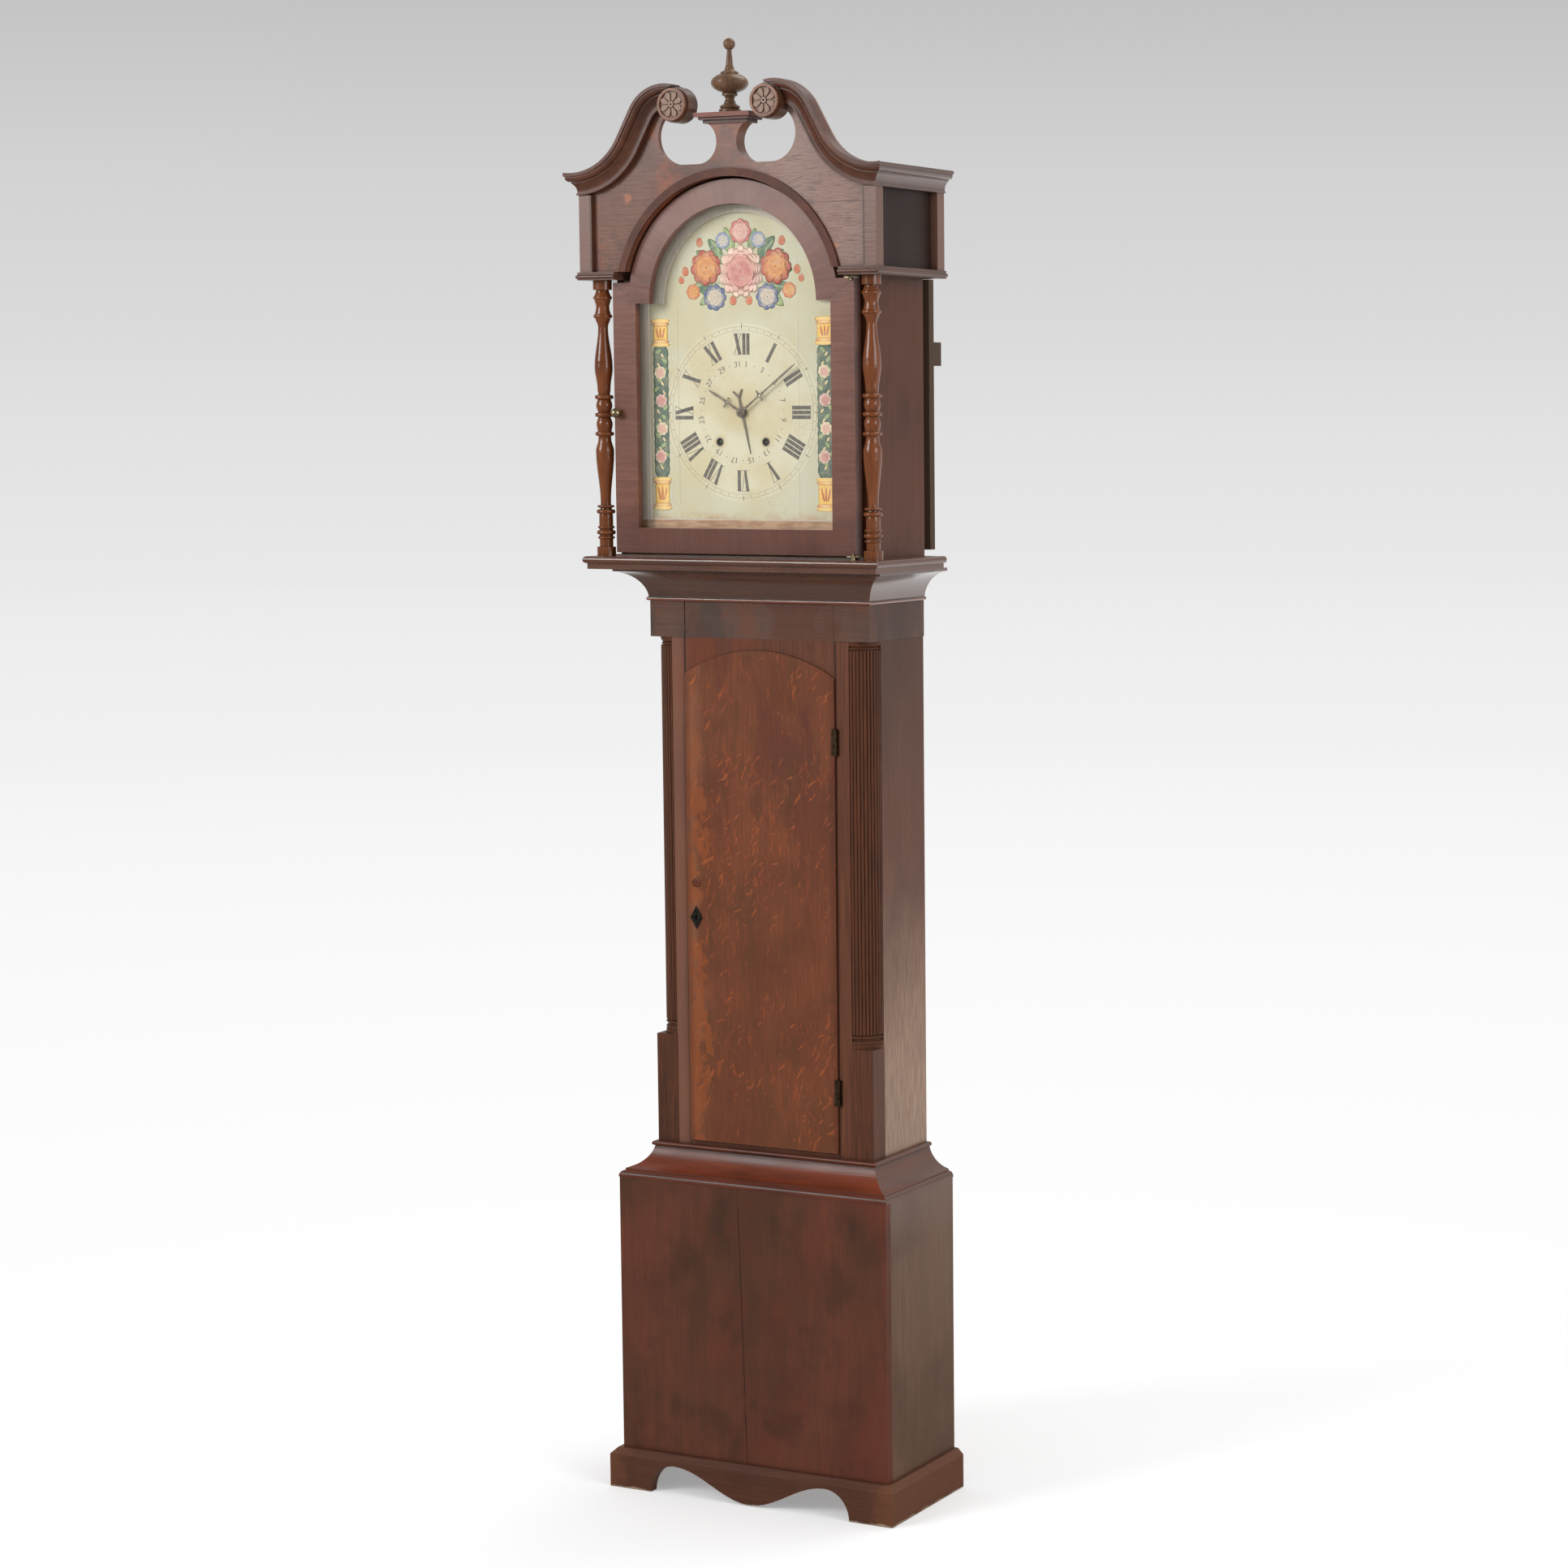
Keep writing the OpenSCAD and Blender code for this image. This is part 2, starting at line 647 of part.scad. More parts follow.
// Base frame of the hood with a half-round nose over a fillet and an ogee
module hood_base() {
  hw = hood_hw - 14.5;
  front = hood_front - 9.5;
  h = hood_base_h;
  nose = 5.5;
  color(mahogany) {
    mitred(hw, hood_back, front, 20, seat_z, deck_z) translate([0, seat_z]) {
      difference() {
        polygon([[-side_t, 0], [0, 0], [6, 5], [10, 6.5], [10, h - 2 * nose], [10, h], [-side_t, h]]);
        translate([1, 6]) circle(3.6);
      }
      translate([10, h - nose]) circle(nose);
      square([10, h]);
    }
    both_sides() board(trunk_hw + 3, hw - 2, hood_back, front - 2, seat_z, deck_z);
    board(-trunk_hw - 4, trunk_hw + 4, trunk_d + 12, front - 2, seat_z, deck_z);
    board(-hood_side_hw + 6, hood_side_hw - 6, hood_door_back + 2, hood_door_front - 4, deck_z,
      hood_door_z - ear_plate_t - wood_gap);
  }
}

// Turned columns, free on all sides, from the key heights of their beads, spools and swellings
module hood_columns() {
  r = column_r;
  up = column_h / 420;
  profile = concat([[0, 0], [r, 0], [r, 14]],
    eased([[14, r * 0.72], [58, r * 0.74], [82, r * 0.55], [160, r * 0.97], [180, r * 0.68], [188, r * 0.72],
      [202, r * 0.86], [216, r * 0.62], [230, r * 0.86], [245, r * 0.62], [256, r * 0.7], [288, r * 0.96],
      [349, r * 0.52], [366, r * 0.86], [380, r * 0.7], [394, r * 0.9], [406, r * 0.68]], 6),
    [[r * 0.68, 406], [r, 406], [r, 420], [0, 420]]);
  color(mahogany) both_sides() translate([hood_column_x, at(hood_column_d), deck_z]) {
    rotate_extrude() polygon([for (p = profile) [p[0], p[1] * up]]);
    for (z = [36, 68, 187, 216, 243, 366, 394]) bead(z * up, r, 7);
    for (z = [28, 44, 76]) bead(z * up, r * 0.9, 4);
  }
}

// Corner posts, rails and the projecting shelf under the hood's frieze
module hood_frieze_frame() {
  in = tymp_arch_r + 9;
  nose = 3;
  color(mahogany) {
    both_sides() {
      plan(shelf_z, hood_frieze_z) polygon([[in, dial_front - 10], [in, hood_front + nose],
        [hood_hw + nose, hood_front + nose], [hood_hw + nose, hood_back], [hood_side_hw - side_t, hood_back],
        [hood_side_hw - side_t, dial_front - 10]]);
      translate([hood_hw + nose, at(hood_back), shelf_z + 5]) rotate([90, 0, 0])
        cylinder(r = nose, h = hood_front + nose - hood_back, $fn = 24);
      translate([in, at(hood_front + nose), shelf_z + 5]) rotate([0, 90, 0])
        cylinder(r = nose, h = hood_hw + nose - in, $fn = 24);
      translate([hood_hw + nose, at(hood_front + nose), shelf_z + 5]) sphere(nose, $fn = 24);
      board(hood_hw - post_w, hood_hw, hood_front - post_w, hood_front, hood_frieze_z, crown_z);
      board(hood_hw - post_w, hood_hw, hood_back, hood_back + post_w, hood_frieze_z, crown_z);
    }
  }
}

module side_frieze_panels() {
  color(dark_mahogany) both_sides() board(hood_hw - post_w, hood_hw - 12, hood_back + post_w,
    hood_front - post_w, hood_frieze_z, crown_z);
}

// Swan necks: a hollow arc, a straight slope and a crest arc, all at the moulding's top edge. The
// hollow arc's radius lets the slope run into both arcs without a kink
slope = 60.9;
crest_r = 68.8;
roll_z = crown_top + roll_up;
crest_c = [-roll_x - 14.7, roll_z - 37.3];
low_x = -hood_hw - 4;
low_r = ((crest_c[0] - low_x) * sin(slope) - (crest_c[1] - crown_top) * cos(slope) - crest_r)
  / (1 - cos(slope));
low_c = [low_x, crown_top + low_r];
low_end = low_c + low_r * [sin(slope), -cos(slope)];
crest_start = crest_c + crest_r * [-sin(slope), cos(slope)];
crest_end = 77;

// Points of the swan neck's line, moved down across the moulding by a given distance
function swan_line(down) = concat(arc(low_c, low_r + down, 263, 270 + slope, 12),
  arc(crest_c, crest_r - down, 90 + slope, crest_end, 12));

// Scrolled board of the hood's front: arch below, openings each side of the finial's plinth
cap_t = 15.5;
cap_z = crown_top + 67;
opening_z = crown_top + 8;
sheet_t = 8;

module tympanum_outline() {
  open_r = 42;
  waist_r = 32.4;
  hidden = 2;
  both_sides() difference() {
    polygon(concat([[0, hood_frieze_z], [post_w - hood_hw, hood_frieze_z], [post_w - hood_hw, crown_z],
      [crown_in - hood_hw, crown_z], [crown_in - hood_hw, crown_top - hidden]],
      [for (p = swan_line(hidden)) if (p[0] > crown_in - hood_hw) p],
      [[-roll_x, roll_z], [-roll_x, cap_z], [0, cap_z]]));
    circle_at([-roll_x, roll_z], roll_r, 48);
    circle_at([0, arch_z], tymp_arch_r, 180);
    circle_at([-roll_x + 3.3, opening_z + open_r], open_r, 64);
    circle_at([-waist_r - 17.3, opening_z + waist_r], waist_r, 64);
    translate([-roll_x + 3.3, opening_z]) square([roll_x - 20.6 - waist_r, waist_r]);
  }
}

// The scrolls are sawn from a thin board. Behind it the foot and the plinth are made up to full thickness
module tympanum() {
  plinth_hw = 50;
  color(mahogany) {
    slab(tymp_front - sheet_t, tymp_front) tympanum_outline();
    slab(tymp_back, tymp_front - sheet_t) intersection() {
      tympanum_outline();
      union() {
        translate([-hood_hw, hood_frieze_z]) square([hood_w, opening_z - 3 - hood_frieze_z]);
        translate([-plinth_hw, hood_frieze_z]) square([2 * plinth_hw, cap_z - hood_frieze_z]);
      }
    }
  }
}

module circle_at(c, r, facets) translate(c) circle(r, $fn = facets);

// Cross-banded strip round the arch
module arch_band() {
  color(mahogany) slab(tymp_front, tymp_front + band_proud) difference() {
    circle_at([0, arch_z], tymp_arch_r + band_w, 180);
    circle_at([0, arch_z], tymp_arch_r, 180);
    translate([-hood_hw, hood_frieze_z - hood_w]) square([hood_w, hood_w]);
  }
}

// Crown profile: drop from the top edge along the first axis, distance outwards along the second.
// From below: fillet, cove, fillet, ovolo and square top
module crown_profile(back) {
  o = crown_out;
  h = crown_h;
  polygon(concat([[0, -back], [h, -back], [h, 2.5], [h - 3, 2.5]], bow([h - 3, 1.5], [15, o - 9], 16, 8),
    [[13, o - 9]], arc([7, o - 8], 6, 0, 90, 6), [[5, o - 2], [5, o], [0, o]]));
}

module swan_neck_mouldings() {
  back = hood_front - tymp_front;
  length = norm(crest_start - low_end);
  reach = crown_out + 9;
  color(mahogany) both_sides() difference() {
    union() {
      intersection() {
        translate([low_c[0], at(hood_front), low_c[1]]) rotate([90, 0, 0]) rotate(246)
          rotate_extrude(angle = 24 + slope) translate([low_r, 0]) crown_profile(back);
        plan(crown_z - 40, roll_z + 60) polygon([[-hood_hw - reach, hood_front + reach],
          [0, hood_front + reach], [0, tymp_front], [crown_in - hood_hw, tymp_front]]);
      }
      translate([crest_start[0], at(hood_front), crest_start[1]]) rotate([180, 90 - slope, 0])
        linear_extrude(length) crown_profile(back);
      translate([crest_c[0], at(hood_front), crest_c[1]]) rotate([90, 0, 0]) rotate(crest_end)
        rotate_extrude(angle = 90 + slope - crest_end)
        translate([crest_r, 0]) mirror([1, 0]) crown_profile(back);
    }
    turned_forward(-roll_x, roll_z, tymp_back) cylinder(r = roll_r, h = front_reach - tymp_back + 5);
  }
}

// Rolls at the scroll ends, each faced with a rosette of eight petals round a boss
module rosettes() {
  face_r = roll_r - 2.5;
  roll_back = tymp_front - sheet_t;
  color(mahogany) both_sides() {
    turned_forward(-roll_x, roll_z, roll_back)
      cylinder(r = roll_r, h = front_reach - roll_face_t - roll_back);
    turned_forward(-roll_x, roll_z, front_reach - roll_face_t) difference() {
      cylinder(r = face_r, h = roll_face_t);
      translate([0, 0, roll_face_t - 3]) cylinder(r = face_r - 4, h = 4);
    }
    turned_forward(-roll_x, roll_z, front_reach - 3.1) {
      for (i = [0:7]) rotate(i * 45 + 22.5) linear_extrude(2.2) petal(5.2, face_r - 5, 3.7);
      difference() {
        cylinder(r = 4.5, h = 3);
        translate([0, 0, 1]) cylinder(r = 1.5, h = 4);
      }
    }
  }
}

// A petal from near the boss to near the rim, widest towards the rim
module petal(r0, r1, w) polygon([for (a = [0:30:330])
  [(r0 + r1) / 2 + (r1 - r0) / 2 * cos(a), w * sin(a) * (1 + 0.35 * cos(a))]]);

// Straight cornices along the hood's sides
module hood_cornices() {
  color(mahogany) both_sides() intersection() {
    translate([hood_hw, at(hood_back), crown_top]) rotate([90, 0, 0])
      linear_extrude(hood_front + crown_out + 9 - hood_back) rotate(-90) crown_profile(crown_in);
    plan(crown_z - 1, crown_top + 1) polygon([[hood_hw - crown_in, hood_back],
      [hood_hw + crown_out + 9, hood_back], [hood_hw + crown_out + 9, hood_front + crown_out + 9],
      [hood_hw - crown_in, tymp_front]]);
  }
}

// Board over the hood, notched at its front edge for the top of the door's arch
module hood_top_board() {
  notch = sqrt(max(0, pow(tymp_arch_r, 2) - pow(crown_z - arch_z, 2)));
  top_t = 9;
  cover_t = 5;
  lid_z = arch_z + arch_out_r + 3;
  color(pine) {
    difference() {
      board(crown_in - hood_hw, hood_hw - crown_in, hood_back, tymp_back, crown_z, crown_z + top_t);
      board(-notch, notch, hood_door_back - 2, tymp_back + 1, crown_z - 1, crown_z + top_t + 1);
    }
    difference() {
      board(-notch - cover_t, notch + cover_t, hood_door_back - 2 - cover_t, tymp_back,
        crown_z + top_t - 1, lid_z + cover_t);
      board(-notch, notch, hood_door_back - 2, tymp_back + 1, crown_z + top_t - 2, lid_z);
    }
  }
}

// Finial on a moulded cap over the plinth that is cut with the front board
module finial() {
  axis_d = (tymp_front + tymp_back) / 2;
  hw = 34;
  base_z = cap_z + cap_t;
  k = finial_h / 110;
  q = finial_r / 28;
  bulb = [for (t = [-68:10:62]) [finial_r * cos(t), (43.9 + 15.2 * sin(t)) * k]];
  color(mahogany) {
    board(-hw - 4, hw + 4, tymp_back - 4, tymp_front + 4, cap_z, cap_z + 5);
    board(-hw - 9, hw + 9, tymp_back - 9, tymp_front + 9, cap_z + 5, cap_z + 9);
    board(-hw - 14, hw + 14, tymp_back - 14, tymp_front + 14, cap_z + 9, base_z);
  }
  color([0.42, 0.28, 0.17]) translate([0, at(axis_d), base_z]) {
    rotate_extrude() polygon(concat([[0, 0], [16.5 * q, 0], [16.5 * q, 5 * k]],
      eased([[5 * k, 13.5 * q], [9 * k, 15.2 * q], [14 * k, 9 * q], [20.5 * k, 6.7 * q],
        [25 * k, 8.5 * q]], 5),
      [[11.6 * q, 25.3 * k], [11.6 * q, 28 * k]], bulb, [[13.4 * q, 57.8 * k], [13.4 * q, 60 * k]],
      eased([[60 * k, 11 * q], [64 * k, 7.2 * q], [72 * k, 5 * q], [93 * k, 3.5 * q]], 5),
      [[3.5 * q, 93 * k], [3.5 * q, 95 * k], [0, 95 * k]]));
    translate([0, 0, finial_h - 9 * q]) sphere(9 * q);
  }
}

// Frame in the hood that hides the dial's edge
module dial_mask() {
  color(pine) slab(mask_back, mask_back + mask_t) difference() {
    union() {
      translate([-hood_side_hw + side_t, deck_z]) square([2 * (hood_side_hw - side_t), column_h]);
      translate([-tymp_arch_r, deck_z + column_h])
        square([2 * tymp_arch_r, crown_z - deck_z - column_h]);
    }
    mask_opening(0);
  }
}

module mask_opening(grow) {
  translate([-mask_hw - grow, dial_z + 4 - grow])
    square([2 * (mask_hw + grow), arch_z - dial_z - 4 + 2 * grow]);
  circle_at([0, arch_z], mask_r + grow, 120);
}

// Pins on which the hood door turns, one on the base and one under the shelf. They stand before the
// door's face, so that its arched top swings out past the shelf and the front board
pivot_x = hood_door_hw - 4;
pivot_d = hood_door_front + 2;
door_pin_r = 1.5;
ear_plate_t = 2;

module door_pivots() {
  color(brass) {
    translate([pivot_x, at(pivot_d), deck_z]) cylinder(r = door_pin_r, h = door_play + 4);
    translate([pivot_x, at(pivot_d), deck_z]) cylinder(r = 3.4, h = door_play - ear_plate_t - 0.3);
    translate([pivot_x, at(pivot_d), shoulder_z - 4]) cylinder(r = door_pin_r, h = shelf_z - shoulder_z + 4);
  }
}

// Brass plates under and over the door's stile, each with an ear round its pin
module pivot_plate(z) translate([0, 0, z]) linear_extrude(ear_plate_t) difference() {
  union() {
    translate([pivot_x - 12, at(hood_door_front)]) square([16, 14]);
    translate([pivot_x - 4, at(pivot_d)]) square([8, pivot_d - hood_door_front]);
    translate([pivot_x, at(pivot_d)]) circle(4);
  }
  translate([pivot_x, at(pivot_d)]) circle(door_pin_r + shaft_gap);
}

module door_outline(inset) {
  translate([inset - hood_door_hw, hood_door_z + inset])
    square([2 * (hood_door_hw - inset), shoulder_z - hood_door_z - inset]);
  circle_at([0, arch_z], arch_out_r, 180);
}

module door_opening(grow) {
  w = hood_door_hw - hood_stile_w;
  translate([-w - grow, hood_door_z + hood_stile_w - 2 - grow])
    square([2 * (w + grow), arch_z - hood_door_z - hood_stile_w + 2 + 2 * grow]);
  intersection() {
    circle_at([0, arch_z], arch_r + grow, 180);
    translate([-arch_out_r, arch_z - 20]) square([2 * arch_out_r, 2 * arch_out_r]);
  }
}

// Arched frame of the hood door, rebated behind for the glass
module hood_door() {
  color(dark_mahogany) difference() {
    slab(hood_door_back, hood_door_front) difference() {
      door_outline(0);
      door_opening(0);
    }
    slab(hood_door_back - 1, glass_d + glass_t) door_opening(5);
  }
}

glass_d = hood_door_back + 6;

module hood_door_glass() {
  color([0.8, 0.88, 0.88, 0.35]) slab(glass_d, glass_d + glass_t) door_opening(4.7);
}

module hood_door_fittings() {
  knob_r = hood_stile_w * 0.185;
  color(brass) {
    turned_forward(-hood_door_hw + knob_r, hand_z, hood_door_front) {
      cylinder(r = knob_r * 0.75, h = 1.2);
      cylinder(r = knob_r * 0.4, h = knob_r);
      translate([0, 0, knob_r * 1.2]) sphere(knob_r);
    }
    pivot_plate(hood_door_z - ear_plate_t);
    pivot_plate(shoulder_z);
  }
}

// Painted wooden dial on four feet, with holes for the hands and for winding
module dial_outline() {
  translate([-dial_hw, dial_z]) square([dial_w, arch_z - dial_z]);
  circle_at([0, arch_z], mask_r + 4, 120);
}

module dial() {
  back = dial_front - dial_t;
  color(cream) difference() {
    slab(back, dial_front) dial_outline();
    turned_forward(0, hand_z, back - 1) cylinder(r = 7, h = dial_t + 2);
    for (x = [-winding_x, winding_x]) turned_forward(x, barrel_z, back - 1) cylinder(r = 5, h = dial_t + 2);
  }
  color(steel) for (x = [-58, 58]) for (z = [seat_top + 12, plate_top - 12])
    turned_forward(x, z, plate_front + plate_t) cylinder(r = 3, h = back - plate_front - plate_t);
}

// Two plates with holes for every arbor, four pillars between them, and a stud in front
module movement_frame() {
  plates = [plate_back, plate_front];
  color(brass) {
    for (d = plates) difference() {
      board(-plate_hw, plate_hw, d, d + plate_t, seat_top, plate_top);
      for (p = pivots) turned_forward(p[0], p[1], d - 1) cylinder(r = p[2] + shaft_gap, h = plate_t + 2);
    }
    for (x = [-pillar_x, pillar_x]) for (z = [seat_top + 7, plate_top - 7])
      turned_forward(x, z, plate_back + plate_t) cylinder(r = pillar_r, h = plate_gap);
    turned_forward(minute_x, minute_z, plate_front + plate_t) cylinder(r = stud_r, h = 16);
  }
}

// Where each arbor turns in the plates: place, height and radius
pivots = [[0, hand_z, arbor_r], [third_x, third_z, pivot_r], [0, escape_z, pivot_r], [0, pallet_z, pivot_r],
  [winding_x, barrel_z, 3], [-winding_x, barrel_z, 3], [hammer_x, hammer_z, pivot_r]];

// Cock behind the back plate that holds the pendulum's spring
module back_cock() {
  arm = 8;
  color(brass) {
    both_sides() {
      board(14, 22, plate_back - 3, plate_back, pallet_z + 2, pallet_z + 16);
      board(14, 18, pendulum_d - 4, plate_back - 3, pallet_z + arm, pallet_z + 14);
    }
    board(-14, 14, pendulum_d - 4, pendulum_d + 4, pallet_z + arm, pallet_z + 14);
  }
}

// Bell on a curved strap above the plates
module bell() {
  r = bell_r;
  color(brass) translate([0, at(bell_d), bell_z]) difference() {
    sphere(r, $fn = 72);
    sphere(r - 2.2, $fn = 72);
    translate([0, 0, -r - 1 + bell_up]) cube([3 * r, 3 * r, 2 * r + 2], center = true);
    cylinder(r = 2, h = r + 2);
  }
  color(steel) {
    board(-5, 5, plate_back - 2, plate_back, pallet_z + 5, bell_z + r + 3);
    board(-5, 5, plate_back - 2, bell_d + 5, bell_z + r + 0.4, bell_z + r + 3);
    translate([0, at(bell_d), bell_z + r - 12]) cylinder(r = 1.95, h = 14);
    translate([0, at(bell_d), bell_z + r - 12]) cylinder(r = 4, h = 9.4);
  }
}

// Wheels. Each great wheel stands beside its barrel; the strike side's is at the back plate
great_t = 3;
going_d = plate_front - 8;
strike_d = plate_back + plate_t + 4.5;

// Angle from one arbor to another, seen from the front
function toward(x0, z0, x1, z1) = atan2(z1 - z0, x1 - x0);

module great_wheel(x, d, turn) {
  turned_forward(x, barrel_z, d) linear_extrude(great_t) difference() {
    crossed(96, great_r, 1.0, turn, 10);
    circle(r = 3 + shaft_gap);
  }
}

module going_great_wheel() {
  color(brass) great_wheel(winding_x, going_d, toward(winding_x, barrel_z, 0, hand_z));
}

module strike_great_wheel() {
  color(brass) great_wheel(-winding_x, strike_d, 0);
}

// Winding barrel with its arbor, ratchet and square for the key
module barrel(x, d0, d1) {
  turned_forward(x, barrel_z, d0) {
    cylinder(r = barrel_r, h = d1 - d0);
    for (h = [0, d1 - d0 - 1.5]) translate([0, 0, h]) cylinder(r = barrel_r + 2, h = 1.5);
  }
  turned_forward(x, barrel_z, plate_back + 0.2) cylinder(r = 3, h = plate_front + plate_t + 12 - plate_back);
  turned_forward(x, barrel_z, plate_front + plate_t + 12)
    linear_extrude(dial_front - plate_front - plate_t - 15) rotate(45) square(4.6, center = true);
}

module going_barrel() {
  color(brass) barrel(winding_x, strike_d, going_d - 0.6);
}

module strike_barrel() {
  color(brass) barrel(-winding_x, strike_d + great_t + 0.6, going_d + great_t);
}

// Driving weights: a lead cylinder with a domed top, hung from a stirrup with a pulley
module weight(side) {
  x = pulley_x(side);
  neck = weight_z + weight_h;
  color(lead) translate([x, at(line_dd), weight_z]) {
    cylinder(r = weight_r, h = weight_h - 6);
    translate([0, 0, weight_h - 6]) cylinder(r1 = weight_r, r2 = weight_r - 6, h = 6, $fn = 48);
  }
  color(steel) {
    translate([x, at(line_dd), neck]) cylinder(r = 2.5, h = 20);
    board(x - 4, x + 4, line_dd - 5, line_dd + 5, neck + 18, neck + 22);
    for (d = [line_dd - 7, line_dd + 5]) difference() {
      board(x - 4, x + 4, d, d + 2, neck + 18, pulley_z + 6);
      turned_forward(x, pulley_z, d - 1) cylinder(r = 1.5 + shaft_gap, h = 4);
    }
  }
}

module going_weight() { weight(1); }
module strike_weight() { weight(-1); }

module pulley(side) {
  color(brass) turned_forward(pulley_x(side), pulley_z, line_dd - 7) {
    cylinder(r = 1.5, h = 14);
    translate([0, 0, 3]) rotate_extrude() difference() {
      translate([1, 0]) square([pulley_r + 1, 8]);
      translate([pulley_r + 2, 4]) circle(3, $fn = 24);
    }
  }
}

module going_pulley() { pulley(1); }
module strike_pulley() { pulley(-1); }

// Gut line: down from the barrel, round the pulley and up through the seat board to its knot
module line(side) {
  down = line_x(side);
  up = down + 2 * groove_r;
  color([0.80, 0.70, 0.48]) {
    translate([down, at(line_dd), pulley_z]) cylinder(d = line_d, h = barrel_z - pulley_z);
    translate([up, at(line_dd), pulley_z]) cylinder(d = line_d, h = seat_top + 3 - pulley_z);
    translate([up, at(line_dd), seat_top]) cylinder(r = 5.5, h = 3.5);
    turned_forward(pulley_x(side), pulley_z, line_dd) rotate(180) rotate_extrude(angle = 180)
      translate([groove_r, 0]) circle(d = line_d, $fn = 16);
  }
}

module going_cord() { line(1); }
module strike_cord() { line(-1); }

// Centre arbor with its wheel, pinion and the cannon wheel that drives the hands
centre_d = plate_front - 18;
cannon_d = plate_front + plate_t + 3;
third_d = centre_d - 22;
escape_d = plate_back + plate_t + 6;

module centre_wheel() {
  to_great = toward(0, hand_z, winding_x, barrel_z);
  to_third = toward(0, hand_z, third_x, third_z);
  color(brass) {
    turned_forward(0, hand_z, plate_back + 0.2) cylinder(r = arbor_r, h = dial_front + 9.5 - plate_back);
    turned_forward(0, hand_z, centre_d) linear_extrude(2) crossed(60, centre_wheel_r, 0.75, to_third, 6);
    turned_forward(0, hand_z, going_d - 3) linear_extrude(great_t + 6)
      teeth(8, great_r / 12, 1.0, to_great + 22.5, 0.26);
    turned_forward(0, hand_z, cannon_d) linear_extrude(2.5) teeth(36, cannon_r, 0.55, minute_a, 0.3);
    turned_forward(0, hand_z, plate_front + plate_t + 0.4) cylinder(r = 3, h = 42);
  }
}

module third_wheel() {
  to_centre = toward(third_x, third_z, 0, hand_z);
  to_escape = toward(third_x, third_z, 0, escape_z);
  color(brass) {
    turned_forward(third_x, third_z, plate_back + 0.2) cylinder(r = pivot_r, h = arbor_len);
    turned_forward(third_x, third_z, third_d) linear_extrude(2) crossed(56, third_r, 0.6, to_escape, 5);
    turned_forward(third_x, third_z, centre_d - 3) linear_extrude(8)
      teeth(8, third_pinion_r, 0.7, to_centre + 22.5, 0.26);
  }
}

module escape_wheel() {
  to_third = toward(0, escape_z, third_x, third_z);
  color(brass) {
    turned_forward(0, escape_z, plate_back + 0.2) cylinder(r = pivot_r, h = arbor_len);
    turned_forward(0, escape_z, third_d - 3) linear_extrude(8)
      teeth(7, escape_pinion_r, 0.6, to_third + 180 / 7, 0.26);
    turned_forward(0, escape_z, escape_d) linear_extrude(2) {
      difference() {
        polygon([for (i = [0:29]) for (k = [[0, escape_r], [3, escape_r - 3.4], [9, escape_r - 3.4]])
          k[1] * [cos(12 * i + k[0]), sin(12 * i + k[0])]]);
        circle(escape_r - 6);
      }
      circle(5);
      for (a = [0, 90]) rotate(a) square([2 * escape_r - 11, 2.4], center = true);
    }
  }
}

// Minute wheel of the motion work on its stud, with the pinion that turns the hour wheel
module minute_wheel() {
  color(brass) turned_forward(minute_x, minute_z, cannon_d) difference() {
    union() {
      linear_extrude(2.5) teeth(36, cannon_r, 0.55, minute_a + 180 + 5, 0.3);
      linear_extrude(12) teeth(6, hour_wheel_r / 12, 0.55, 180 + minute_a + 30, 0.24);
    }
    translate([0, 0, -1]) cylinder(r = stud_r + shaft_gap, h = 20);
  }
}

module hour_wheel() {
  color(brass) difference() {
    union() {
      turned_forward(0, hand_z, cannon_d + 8) linear_extrude(2) teeth(72, hour_wheel_r, 0.55, minute_a, 0.3);
      turned_forward(0, hand_z, cannon_d + 7) cylinder(r = 5, h = dial_front + 3.4 - cannon_d - 7);
    }
    turned_forward(0, hand_z, cannon_d) cylinder(r = 3 + shaft_gap, h = 60);
  }
}

// Hands: a tapering blade with a pierced cross part of the way along
module hand_outline(length, cross_at, cross_r) {
  difference() {
    union() {
      circle(7);
      polygon([[-2.2, 0], [2.2, 0], [0.8, cross_at], [1.8, length * 0.84], [0.4, length], [-0.4, length],
        [-1.8, length * 0.84], [-0.8, cross_at]]);
      translate([0, cross_at]) polygon([for (i = [0:7]) (i % 2 == 0 ? cross_r : 0.45 * cross_r)
        * [cos(45 * i), sin(45 * i)]]);
      for (a = [0:90:270]) translate([0, cross_at]) rotate(a) translate([cross_r, 0]) circle(1.7, $fn = 24);
    }
    translate([0, cross_at]) circle(cross_r * 0.26, $fn = 24);
  }
}

minute_turn = 53;
hour_turn = 301;
calendar_turn = 167;

module minute_hand() {
  color(iron) turned_forward(0, hand_z, dial_front + 6) {
    linear_extrude(1.2) difference() {
      rotate(-minute_turn) hand_outline(minute_len, 42, 7.5);
      circle(arbor_r);
    }
    translate([0, 0, 1.2]) difference() {
      cylinder(r1 = 6, r2 = 4, h = 2);
      translate([0, 0, -1]) cylinder(r = arbor_r, h = 4);
    }
  }
}

module hour_hand() {
  color(iron) turned_forward(0, hand_z, dial_front + 3.4) linear_extrude(1.2) difference() {
    rotate(-hour_turn) hand_outline(hour_len, 30, 7);
    circle(3 + shaft_gap + 0.2);
  }
}

